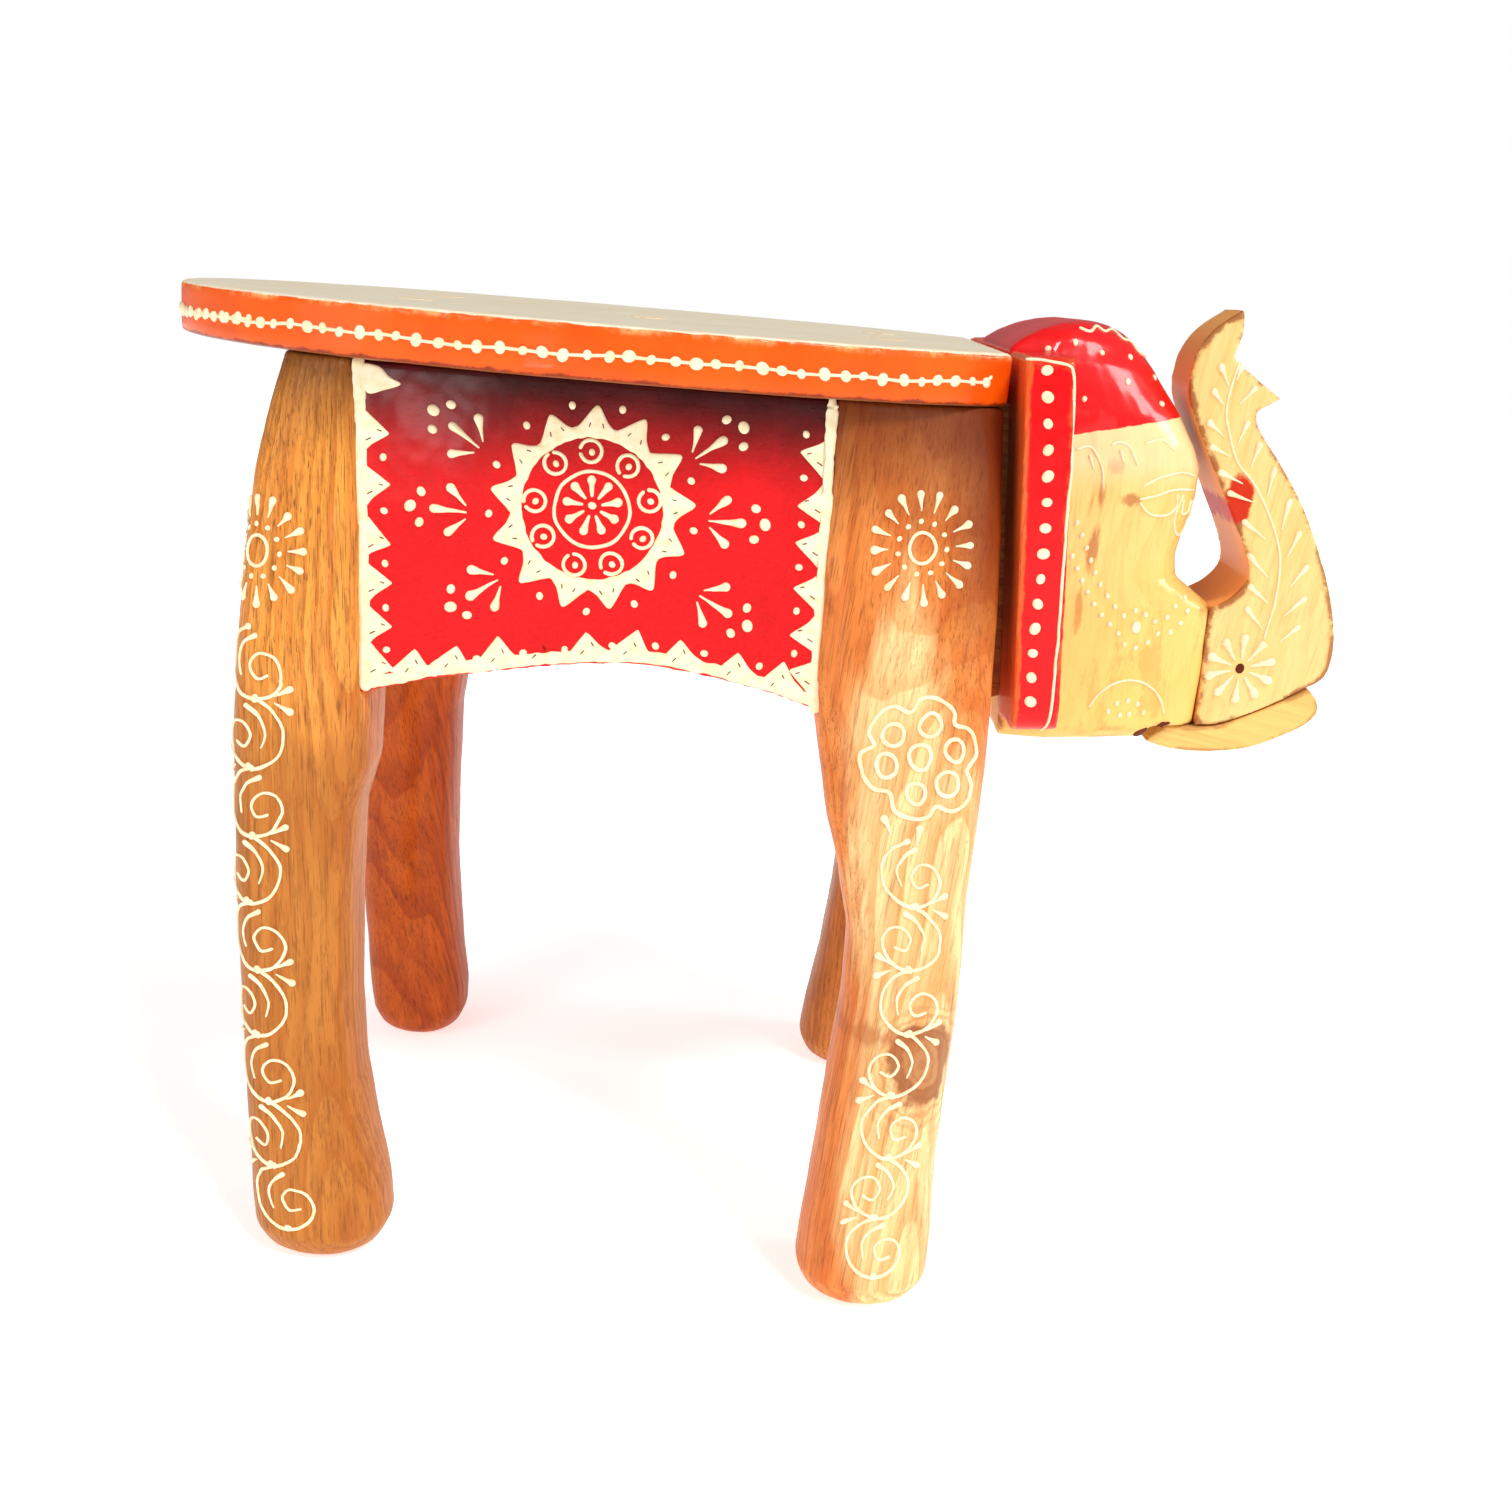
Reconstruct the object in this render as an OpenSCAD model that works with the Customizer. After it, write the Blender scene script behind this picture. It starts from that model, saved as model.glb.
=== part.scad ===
// Carved and painted wooden elephant stool. An oval seat plank rests on an elephant that is
// glued up from blocks: a spine block, a blanket block on each side, four legs, a head block
// with two ear boards, a trunk plank and a lower lip, with dowels, screws and nails inside.
// +X points from the tail to the trunk, +Z up, and the elephant's right side is at -Y.
// The origin is on the floor, under the middle of the overall length. Millimetres.

/* [Seat] */
// Height of the seat's top above the floor
seat_height = 305; // [290:1:320]
// Thickness of the seat plank
seat_thickness = 16; // [14:1:18]
// Length of the full oval that the seat is cut from
seat_oval_length = 291; // [285:1:293]
// Width of the seat
seat_width = 210; // [206:1:214]
// How square the rear half of the oval is: 2 is an ellipse
seat_oval_power = 2.1; // [2:0.1:2.4]
// How square the front half of the oval is
seat_front_power = 2.3; // [2.2:0.1:2.6]

/* [Legs] */
// Distance between the middles of the two rear feet
rear_foot_spread = 168; // [162:1:174]
// Distance between the middles of the two front feet
front_foot_spread = 174; // [168:1:178]
// Distance of a leg's middle from the elephant's mid-plane at the seat
leg_top_offset = 66; // [65:1:67]

/* [Body] */
// Distance from the mid-plane to the face of a blanket block
blanket_offset = 88; // [86:1:89]
// Width of the spine block, between the legs
spine_width = 88; // [84:1:90]

/* [Head] */
// Forward lean of the ears and of the joint behind the head, in degrees
neck_lean = 5; // [4:0.5:6]
// Thickness of an ear board
ear_thickness = 14.5; // [12:0.5:16]
// Distance from the mid-plane to an ear's outer edge
ear_reach = 80; // [76:1:84]
// Thickness of the trunk plank at its root
trunk_thickness = 41; // [38:1:43]
// Thickness of the trunk plank at its tip
trunk_tip_thickness = 24; // [18:1:30]

/* [Fastenings] */
// Diameter of the dowels in the legs and blanket blocks
dowel_diameter = 10; // [8:1:12]
// Diameter of the dowels between the body and the head
head_dowel_diameter = 12; // [10:1:14]
// Diameter of the dowels in the ears and the trunk
small_dowel_diameter = 6; // [5:1:8]

/* [Hidden] */

RIGHT = -1;
LEFT = 1;
SIDES = [RIGHT, LEFT];
round_fn = 48;

golden_wood = "peru";
red_brown_wood = "sienna";
pale_wood = "burlywood";
orange_paint = "darkorange";
red_paint = "crimson";
steel = "silver";

body_top = seat_height - seat_thickness;
spine_half = spine_width / 2;

// Seat, in plan
seat_centre_x = -51.5;
seat_front_x = 70;
seat_oval_points = 96;

// Joint behind the head: where it meets the height of the seat's top
neck_x = 72;

// Joints between a blanket block and its legs: x at the seat and x at the arch
rear_joint = [-122.5, -119];
front_joint = [17.5, 21.5];
arch_ends_z = [189, 195];
arch_middle = [-40, 205];
arch_quarter = [-92, 196.5];

// Leg stations, from the floor up: height, rear edge, front edge, squareness of the section,
// and how far the outer face is set back at the edge that is away from the blanket
rear_leg_top = [
    [226, -157, -117, 4, 4], [252, -154.6, -117, 4, 6], [272, -151, -117, 4, 8], [body_top, -146.5, -117, 4, 10]];
front_leg_top = [
    [180, 22.2, 74.7, 3.6, 2], [200, 18, 74.5, 3.8, 6], [226, 16, 73.7, 4, 11],
    [255, 14, 72.3, 4, 16], [272, 13, 70.6, 4, 18], [body_top, 12, 69, 4, 20]];
rear_right_stations = concat([
    [0, -143.5, -112.5, 2.2, 0], [3, -147.5, -108.5, 2.2, 0], [9, -150.2, -105.6, 2.4, 0],
    [20, -151.6, -107, 2.5, 0], [38, -152.5, -111.7, 2.6, 0], [60, -154, -116.5, 2.7, 0],
    [85, -155.8, -119, 2.8, 0], [115, -157.5, -120, 3, 0], [150, -159, -119.8, 3.2, 0],
    [165, -159.4, -116, 3.3, 0], [180, -159.2, -116, 3.6, 0], [200, -158.2, -117, 3.8, 2]], rear_leg_top);
rear_left_stations = concat([
    [0, -143.5, -117.5, 2.2, 0], [3, -147.5, -113.5, 2.2, 0], [9, -150.2, -110.7, 2.4, 0],
    [20, -151.6, -111, 2.5, 0], [38, -152.5, -113.3, 2.6, 0], [60, -154, -115.2, 2.7, 0],
    [85, -155.8, -116.6, 2.8, 0], [115, -157.5, -116.5, 3, 0], [145, -159, -116, 3.2, 0],
    [165, -159.4, -113, 3.3, 0], [183, -159.2, -109.5, 3.6, 0], [200, -158.2, -109, 3.8, 2]], rear_leg_top);
front_right_stations = concat([
    [0, 37, 67.5, 2.2, 0], [3, 32.8, 71.6, 2.2, 0], [9, 30, 74.5, 2.4, 0], [25, 31, 74.3, 2.5, 0],
    [50, 33, 73.2, 2.6, 0], [80, 35, 74, 2.7, 0], [101, 36.9, 74.7, 2.8, 0], [125, 36.3, 74.2, 3, 0],
    [142, 32.4, 73.8, 3.2, 0], [162, 26.2, 74.4, 3.4, 0]], front_leg_top);
front_left_stations = concat([
    [0, 40, 67.5, 2.2, 0], [3, 35.8, 71.6, 2.2, 0], [9, 33, 74.5, 2.4, 0], [25, 34.3, 74.3, 2.5, 0],
    [50, 37.8, 73.2, 2.6, 0], [80, 40.3, 74, 2.7, 0], [101, 41, 74.7, 2.8, 0], [125, 39.5, 74.2, 3, 0],
    [142, 34.5, 73.8, 3.2, 0], [162, 27, 74.4, 3.4, 0]], front_leg_top);
leg_half_depths = [[0, 15], [3, 19], [9, 21.8], [40, 22], [80, 21], [125, 20.4], [180, 22], [200, 24], [body_top, 24]];
set_back_from = [-120, 19];
leg_ring_points = 28;
splay_start_z = 8;

// Head stations below and above the seat's top: height, rear edge relative to the neck joint,
// front edge, half width at the rear, half width at the front, squareness of the front corners
head_stations = [
    [-124.8, 0, 152, 39, 19, 6], [-121, 0, 155, 42, 21, 8], [-105, 0, 155.5, 43, 21.5, 9],
    [-80, 0, 155, 43, 22, 9], [-70, 0, 141, 43, 22, 7], [-63, 0, 140.2, 43, 22, 6], [-54, 0, 142, 43, 22, 5.5],
    [-44, 0, 144.6, 43, 22, 5], [-34, 0, 144.6, 43, 22, 5], [-27, 0, 141.6, 42.8, 21.6, 5],
    [-17, 0, 135.4, 42.5, 21, 4.5], [-8.5, 0, 128.8, 41.5, 19.6, 4], [-2.4, 0, 124.4, 40.5, 18.4, 4],
    [1, 0, 121.5, 39.5, 17.6, 3.6], [4.8, 5, 118, 37, 16.8, 3.3], [7.8, 11, 113.5, 33, 15.8, 3],
    [9.8, 17, 108.5, 28.5, 14.6, 2.8], [10.7, 22, 104, 24, 13, 2.6]];
head_side_length = 16;
head_side_share = 0.3;
head_side_points = 12;
lip_seat_x = 136;
lip_seat_z = 184;

// Ear outline: distance from the mid-plane, height from the seat's top
ear_inner_y = 37;
ear_corner_radius = 9;
ear_bottom_z = -115;
ear_inner_bottom_z = -119;
// How far behind the neck joint the head's side cuts on through the ear
ear_cut_beyond = 5;

// Trunk: the stretches of its side outline between its corners
trunk_seam_x = 153.7;
trunk_inner_curve = [[152.4, 225.5], [159, 229.5], [163.8, 237], [161, 246.5], [154.5, 259], [147.6, 271.5],
                     [141, 284], [136.3, 295], [136.6, 307], [141.5, 316], [150, 323]];
trunk_tip = [151, 324];
trunk_notch_curve = [[151.6, 316], [149.6, 307.5]];
trunk_point = [166.8, 296];
trunk_front_curve = [[159.6, 291.4], [160.6, 286.4], [171.6, 272.4], [181, 258.2], [188.9, 242], [194.9, 225.3],
                     [197, 213], [195.3, 204.6], [190.4, 200.8]];
kerf_curve = [[190.4, 200.8], [181.4, 195], [168.8, 188.3], [160.6, 185], [153.7, 184.2]];
trunk_taper_start_z = 236;

// Lower lip
kerf_gap = 0.4;
lip_rear = [137, 177.6];
lip_rear_top = [144, 183.8];
lip_bottom_curve = [[137, 177.6], [144, 175.9], [153.5, 175.2], [164, 176.1], [174, 178.4], [183.4, 182.8],
                    [191, 187.4], [194.8, 192.2], [194.2, 196.4], [191.2, 200.2]];

// Fastenings
fit_gap = 0.05;
side_dowel_length = 44;
leg_dowel_xs = [-140, 47];
leg_dowel_heights = [222, 262];
blanket_dowel_xs = [-90, -14];
blanket_dowel_z = 246;
head_dowel_y = 20;
head_dowel_z = 242;
head_dowel_length = 64;
ear_dowel_heights = [-38, -88];
ear_dowel_length = 30;
ear_dowel_y = 44;
trunk_dowel_heights = [196, 213];
trunk_dowel_length = 32;
screw_points = [[-118, 27], [-118, -27], [-44, -15], [34, 27], [34, -27]];
screw_diameter = 4.5;
screw_head_diameter = 9;
screw_head_height = 3;
screw_length = 50;
plug_diameter = 10;
plug_height = 4;
nail_points = [[177, -9], [177, 9]];
nail_lean = 25;
nail_diameter = 1.8;
nail_head_diameter = 4.2;
nail_head_height = 1;
nail_length = 20;
nail_head_z = 179.8;

// ---- Curves and lofts ----

function catmull(a, b, c, d, t) =
    0.5 * (2 * b + (c - a) * t + (2 * a - 5 * b + 4 * c - d) * t * t + (3 * b - a - 3 * c + d) * t * t * t);

// A smooth curve through all the points, with `steps` pieces between each pair
function smooth(points, steps = 4) =
    let (last = len(points) - 1)
    [for (i = [0 : last - 1], s = [0 : steps - 1])
        catmull(points[max(i - 1, 0)], points[i], points[i + 1], points[min(i + 2, last)], s / steps),
     points[last]];

// Signed power, for superellipses
function signed_power(v, power) = sign(v) * pow(abs(v), power);

// Point at angle `a` of an oval whose squareness is 2 for an ellipse
function oval_point(half_x, half_y, power, a) =
    [half_x * signed_power(cos(a), 2 / power), half_y * signed_power(sin(a), 2 / power)];

function superellipse(half_x, half_y, power, count) =
    [for (i = [0 : count - 1]) oval_point(half_x, half_y, power, 360 * i / count)];

// Solid skin over rings of points that run anticlockwise seen from above, lowest ring first
module loft(rings) {
    count = len(rings[0]);
    top = (len(rings) - 1) * count;
    sides = [for (j = [0 : len(rings) - 2], i = [0 : count - 1])
        let (a = j * count + i, b = j * count + (i + 1) % count)
        each [[a, a + count, b + count], [a, b + count, b]]];
    bottom_cap = [for (i = [0 : count - 1]) i];
    top_cap = [for (i = [count - 1 : -1 : 0]) top + i];
    polyhedron(points = [for (ring = rings) each ring], faces = concat(sides, [bottom_cap, top_cap]));
}

// A side outline in X and Z, given thickness across the mid-plane
module side_board(outline, from_y, to_y) {
    translate([0, to_y, 0])
        rotate([90, 0, 0])
            linear_extrude(to_y - from_y)
                polygon(outline);
}

module cylinder_y(diameter, length) {
    rotate([90, 0, 0])
        cylinder(d = diameter, h = length, center = true, $fn = round_fn);
}

module cylinder_x(diameter, length) {
    rotate([0, 90, 0])
        cylinder(d = diameter, h = length, center = true, $fn = round_fn);
}

// ---- Shared shapes ----

// x of the joint behind the head at height z
function neck_x_at(z) = neck_x + (seat_height - z) * tan(neck_lean);

// The arched underside of the body between the legs, from rear to front
function arch() = smooth([[rear_joint[1], arch_ends_z[0]], arch_quarter, [arch_middle[0], arch_middle[1]],
                          [front_joint[1] - 22, arch_ends_z[1] + 6], [front_joint[1], arch_ends_z[1]]], 5);

module blanket_blank(side) {
    inner = spine_half;
    outer = blanket_offset;
    low = min(side * inner, side * outer);
    side_board(concat([[rear_joint[0], body_top]], arch(), [[front_joint[0], body_top]]),
               low, low + outer - inner);
}

function leg_half_depth(z) = lookup(z, leg_half_depths);

// Distance of a leg's middle from the mid-plane: straight splay from the seat down to the foot
function leg_offset(z, foot) =
    foot + (leg_top_offset - foot) * max(0, z - splay_start_z) / (body_top - splay_start_z);

// One ring of a right leg. `end` is 0 for a rear leg and 1 for a front leg.
function leg_ring(station, foot, end) =
    let (z = station[0],
         middle_x = (station[1] + station[2]) / 2,
         half_x = (station[2] - station[1]) / 2,
         half_y = leg_half_depth(z),
         start_x = set_back_from[end],
         reach_x = station[1 + end] - start_x)
    [for (p = superellipse(half_x, half_y, station[3], leg_ring_points))
        let (share = min(1, max(0, (middle_x + p[0] - start_x) / reach_x)),
             outward = max(0, -p[1] / half_y))
        [middle_x + p[0], p[1] + station[4] * share * outward - leg_offset(z, foot), z]];

module leg_blank(stations, side, end) {
    foot = [rear_foot_spread, front_foot_spread][end] / 2;
    mirror([0, side == LEFT ? 1 : 0, 0])
        loft([for (station = stations) leg_ring(station, foot, end)]);
}

// Where the spine block stands between the legs, above the arch's ends
module spine_space() {
    translate([-250, -spine_half, arch_ends_z[0] - 12])
        cube([500, spine_width, 300]);
}

module leg(stations, side, end) {
    difference() {
        leg_blank(stations, side, end);
        blanket_blank(side);
        spine_space();
        for (z = leg_dowel_heights)
            translate([leg_dowel_xs[end], side * spine_half, z])
                cylinder_y(dowel_diameter, side_dowel_length);
    }
}

// One ring of the head. `beyond` carries its flat sides on behind the neck joint, for cutting the ears.
function head_ring(station, beyond) =
    let (z = seat_height + station[0],
         rear = (station[0] <= 1 ? neck_x_at(z) : neck_x) + station[1],
         front = station[2],
         flat_end = rear + min(head_side_length, head_side_share * (front - rear)),
         rear_half = station[3],
         front_half = station[4],
         power = station[5],
         side = [for (i = [0 : head_side_points])
             let (a = 90 * i / head_side_points,
                  along = signed_power(sin(a), 2 / power),
                  across = signed_power(cos(a), 2 / power))
             [flat_end + (front - flat_end) * along, across * (rear_half + (front_half - rear_half) * along)]])
    concat([[rear - beyond, -rear_half, z]],
           [for (i = [0 : head_side_points]) [side[i][0], -side[i][1], z]],
           [for (i = [head_side_points - 1 : -1 : 0]) [side[i][0], side[i][1], z]],
           [[rear - beyond, rear_half, z]]);

module head_blank(beyond = 0) {
    loft([for (station = head_stations) head_ring(station, beyond)]);
}

// Moves a child drawn in the ear board's own plane (X across, Y up from the seat's top)
module in_ear_plane() {
    translate([neck_x, 0, seat_height])
        rotate([0, -neck_lean, 0])
            rotate([90, 0, 90])
                children();
}

// ---- Seat ----

function seat_outline() =
    [for (i = [0 : seat_oval_points - 1])
        let (a = 360 * i / seat_oval_points)
        oval_point(seat_oval_length / 2, seat_width / 2, cos(a) > 0 ? seat_front_power : seat_oval_power, a)];

module seat_plank() {
    color(orange_paint)
        difference() {
            intersection() {
                translate([seat_centre_x, 0, body_top])
                    linear_extrude(seat_thickness)
                        polygon(seat_outline());
                translate([seat_front_x - 400, -200, 0])
                    cube([400, 400, 400]);
            }
            for (p = screw_points)
                translate([p[0], p[1], 0])
                    screw_hole();
        }
}

// Room for a screw and for the plug above it
module screw_hole() {
    head_z = seat_height - plug_height - screw_head_height;
    translate([0, 0, seat_height - plug_height])
        cylinder(d = plug_diameter + 2 * fit_gap, h = plug_height + 1, $fn = round_fn);
    translate([0, 0, head_z])
        cylinder(d = screw_head_diameter + 2 * fit_gap, h = screw_head_height + 0.01, $fn = round_fn);
    translate([0, 0, head_z - screw_length - fit_gap])
        cylinder(d = screw_diameter + 2 * fit_gap, h = screw_length + 1, $fn = round_fn);
}

module seat_screws() {
    color(steel)
        for (p = screw_points)
            translate([p[0], p[1], seat_height - plug_height - screw_head_height]) {
                cylinder(d = screw_head_diameter, h = screw_head_height - fit_gap, $fn = round_fn);
                translate([0, 0, -screw_length])
                    cylinder(d = screw_diameter, h = screw_length + 0.5, $fn = round_fn);
            }
}

module seat_plugs() {
    color(pale_wood)
        for (p = screw_points)
            translate([p[0], p[1], seat_height - plug_height])
                cylinder(d = plug_diameter, h = plug_height, $fn = round_fn);
}

// ---- Body ----

module spine_block() {
    rump_x = -150;
    rump_radius = 26;
    rump_top = [rump_x + 6, body_top];
    rump_back = [[rump_x, body_top - rump_radius], [rump_x + 3, arch_ends_z[0] + 14]];
    rump_bottom = [rump_x + 14, arch_ends_z[0]];
    chest_bottom = [[neck_x_at(arch_ends_z[1]) - 12, arch_ends_z[1] - 4], [neck_x_at(arch_ends_z[1]), arch_ends_z[1]]];
    color(red_brown_wood)
        difference() {
            side_board(concat([rump_top], rump_back, [rump_bottom], arch(), chest_bottom,
                              [[neck_x_at(body_top), body_top]]),
                       -spine_half, spine_half);
            for (p = screw_points)
                translate([p[0], p[1], 0])
                    screw_hole();
            side_dowel_holes();
            head_dowel_holes();
        }
}

module blanket_block(side) {
    color(red_paint)
        difference() {
            blanket_blank(side);
            for (x = blanket_dowel_xs)
                translate([x, side * spine_half, blanket_dowel_z])
                    cylinder_y(dowel_diameter, side_dowel_length);
        }
}

module blanket_block_right() { blanket_block(RIGHT); }

module blanket_block_left() { blanket_block(LEFT); }

// Holes in the spine block for all the dowels that run across it
module side_dowel_holes() {
    for (side = SIDES) {
        for (x = leg_dowel_xs, z = leg_dowel_heights)
            translate([x, side * spine_half, z])
                cylinder_y(dowel_diameter, side_dowel_length);
        for (x = blanket_dowel_xs)
            translate([x, side * spine_half, blanket_dowel_z])
                cylinder_y(dowel_diameter, side_dowel_length);
    }
}

module leg_dowels() {
    color(pale_wood)
        for (side = SIDES, x = leg_dowel_xs, z = leg_dowel_heights)
            translate([x, side * spine_half, z])
                cylinder_y(dowel_diameter - 2 * fit_gap, side_dowel_length - 2);
}

module blanket_dowels() {
    color(pale_wood)
        for (side = SIDES, x = blanket_dowel_xs)
            translate([x, side * spine_half, blanket_dowel_z])
                cylinder_y(dowel_diameter - 2 * fit_gap, side_dowel_length - 2);
}

// ---- Legs ----

module leg_rear_right() { color(golden_wood) leg(rear_right_stations, RIGHT, 0); }

module leg_rear_left() { color(red_brown_wood) leg(rear_left_stations, LEFT, 0); }

module leg_front_right() { color(red_brown_wood) leg(front_right_stations, RIGHT, 1); }

module leg_front_left() { color(golden_wood) leg(front_left_stations, LEFT, 1); }

// ---- Head ----

module head_block() {
    color(pale_wood)
        difference() {
            head_blank();
            trunk_blank();
            lip_seat();
            head_dowel_holes();
            for (side = SIDES)
                ear_dowel_set(side, small_dowel_diameter, ear_dowel_length);
            trunk_dowel_set(small_dowel_diameter + 2, trunk_dowel_length);
        }
}

// The step under the head block that the lower lip is glued into
module lip_seat() {
    translate([lip_seat_x, -50, lip_seat_z - 20])
        cube([40, 100, 20]);
    translate([trunk_seam_x, -50, lip_seat_z - 1])
        cube([20, 100, 3]);
}

module head_dowel_set(diameter, length) {
    for (side = SIDES)
        translate([neck_x_at(head_dowel_z), side * head_dowel_y, head_dowel_z])
            cylinder_x(diameter, length);
}

module head_dowel_holes() { head_dowel_set(head_dowel_diameter, head_dowel_length); }

module head_dowels() {
    color(pale_wood)
        head_dowel_set(head_dowel_diameter - 2 * fit_gap, head_dowel_length - 2);
}

// The ear's outline: straight outer edge with rounded corners, lower edge rising outwards
module ear_outline() {
    r = ear_corner_radius;
    top_r = 4;
    polygon(concat(
        [[ear_inner_y, 0]],
        [[ear_inner_y, ear_inner_bottom_z], [ear_reach - 2.2 * r, ear_bottom_z]],
        [for (a = [-85 : 17 : 0]) [ear_reach - 1.5 - r + r * cos(a), ear_bottom_z + r + r * sin(a)]],
        [[ear_reach, -60]],
        [for (a = [0 : 22.5 : 90]) [ear_reach - 0.8 - top_r + top_r * cos(a), -top_r + top_r * sin(a)]]));
}

module ear(side) {
    color(red_paint)
        difference() {
            mirror([0, side == RIGHT ? 1 : 0, 0])
                in_ear_plane()
                    linear_extrude(ear_thickness)
                        ear_outline();
            head_blank(ear_cut_beyond);
            ear_dowel_set(side, small_dowel_diameter, ear_dowel_length);
        }
}

module ear_right() { ear(RIGHT); }

module ear_left() { ear(LEFT); }

module ear_dowel_set(side, diameter, length) {
    for (z = ear_dowel_heights)
        translate([neck_x_at(seat_height + z) + ear_thickness / 2, side * ear_dowel_y, seat_height + z])
            cylinder_y(diameter, length);
}

module ear_dowels() {
    color(pale_wood)
        for (side = SIDES)
            ear_dowel_set(side, small_dowel_diameter - 2 * fit_gap, ear_dowel_length - 2);
}

// ---- Trunk and lower lip ----

function trunk_outline() = concat(
    smooth(trunk_inner_curve), [trunk_tip], smooth(trunk_notch_curve), [trunk_point],
    smooth(trunk_front_curve), [for (p = smooth(kerf_curve, 3)) [p[0], p[1] + kerf_gap / 2]]);

// Front view of the room for the trunk: it thins from the middle of its height to the tip
module trunk_taper() {
    root = trunk_thickness / 2;
    tip = trunk_tip_thickness / 2;
    low = 150;
    high = trunk_tip[1] + 1;
    rotate([90, 0, 90])
        linear_extrude(400)
            polygon([[-root, low], [root, low], [root, trunk_taper_start_z], [tip, high],
                     [-tip, high], [-root, trunk_taper_start_z]]);
}

module trunk_blank() {
    intersection() {
        side_board(trunk_outline(), -trunk_thickness / 2, trunk_thickness / 2);
        trunk_taper();
    }
}

module trunk() {
    color(pale_wood)
        difference() {
            trunk_blank();
            trunk_dowel_set(small_dowel_diameter + 2, trunk_dowel_length);
            lip_nail_holes();
        }
}

module trunk_dowel_set(diameter, length) {
    for (z = trunk_dowel_heights)
        translate([trunk_seam_x, 0, z])
            cylinder_x(diameter, length);
}

module trunk_dowels() {
    color(pale_wood)
        trunk_dowel_set(small_dowel_diameter + 2 - 2 * fit_gap, trunk_dowel_length - 2);
}

module lower_lip() {
    color(pale_wood)
        difference() {
            side_board(concat(smooth(lip_bottom_curve),
                              [for (p = smooth(kerf_curve, 3)) [p[0], p[1] - kerf_gap / 2]],
                              [lip_rear_top]),
                       -trunk_thickness / 2, trunk_thickness / 2);
            lip_nail_holes();
        }
}

module lip_nail(shank, head, head_height) {
    for (p = nail_points)
        translate([p[0], p[1], nail_head_z])
            rotate([0, -nail_lean, 0]) {
                translate([0, 0, -head_height])
                    cylinder(d = head, h = 2 * head_height, $fn = round_fn);
                cylinder(d = shank, h = nail_length, $fn = round_fn);
            }
}

module lip_nail_holes() {
    lip_nail(nail_diameter + 2 * fit_gap, nail_head_diameter + 2 * fit_gap, nail_head_height + fit_gap);
}

module lip_nails() {
    color(steel)
        lip_nail(nail_diameter, nail_head_diameter, nail_head_height);
}

seat_plank();
seat_screws();
seat_plugs();
spine_block();
blanket_block_right();
blanket_block_left();
leg_rear_right();
leg_rear_left();
leg_front_right();
leg_front_left();
leg_dowels();
blanket_dowels();
head_block();
head_dowels();
ear_right();
ear_left();
ear_dowels();
trunk();
trunk_dowels();
lower_lip();
lip_nails();
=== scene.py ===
"""Looks of the carved and painted elephant stool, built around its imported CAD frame.

The tables are in millimetres in the row frame: +X to the trunk, +Y to the elephant's left, +Z up.
Heights and places inside materials and lights are in metres.
Patterns are drawn on the right side, which faces the camera, and mirrored to the left side.
"""
import math
import bmesh
import bpy
import numpy as np
from mathutils import Matrix, Vector, noise
from mathutils.bvhtree import BVHTree


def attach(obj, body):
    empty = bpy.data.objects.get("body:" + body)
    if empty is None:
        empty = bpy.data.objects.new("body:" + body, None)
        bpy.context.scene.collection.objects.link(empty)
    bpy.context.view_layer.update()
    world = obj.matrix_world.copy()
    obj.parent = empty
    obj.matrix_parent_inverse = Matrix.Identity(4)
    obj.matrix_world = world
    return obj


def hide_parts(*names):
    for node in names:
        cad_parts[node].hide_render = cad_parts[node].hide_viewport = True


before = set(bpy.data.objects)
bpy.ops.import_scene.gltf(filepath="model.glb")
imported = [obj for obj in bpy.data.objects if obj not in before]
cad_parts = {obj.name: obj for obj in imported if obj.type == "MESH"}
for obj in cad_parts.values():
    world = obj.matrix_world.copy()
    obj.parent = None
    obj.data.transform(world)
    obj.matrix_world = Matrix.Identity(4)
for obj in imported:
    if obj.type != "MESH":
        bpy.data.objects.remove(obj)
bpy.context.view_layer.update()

MM = 0.001
BODY = "root"
SIDES = ("right", "left")


def link(obj):
    bpy.context.scene.collection.objects.link(obj)
    return obj


# ---- Camera and lights ----

CAMERA_AT = (-0.0006, -0.5855, 0.3228)
CAMERA_YAW = 0.43
CAMERA_PITCH = 16.03
CAMERA_ROLL = 4.9
CAMERA_LENS = 40.16
SENSOR_WIDTH = 36
# Strength of the white world for diffuse and for glossy rays; 1 for what the camera sees
WORLD_DIFFUSE = 0.33
WORLD_GLOSSY = 0.25
# Name, direction, strength, spread in degrees
SUNS = [("key", (-0.4, 0.45, -0.8), 1.95, 13),
        ("left_key", (0.5, 0.7, -0.45), 0.5, 20)]
# Name, place, aim, diameter, power in watts, colour
PANELS = [("left_panel", (-0.286, -1.0, 0.19), (-0.1, 0, 0.26), 0.07, 0.17, (1, 0.98, 0.96)),
          ("left_fill", (-0.95, -0.6, 0.4), (-0.05, 0, 0.2), 0.5, 0.9, (1, 0.98, 0.95)),
          ("cap_panel", (1.01, 0.01, 0.74), (0.112, -0.027, 0.298), 0.24, 2.4, (1, 1, 1)),
          ("right_panel", (0.95, -0.75, 0.55), (0.1, 0, 0.2), 0.5, 0.9, (1, 0.98, 0.95))]


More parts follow.
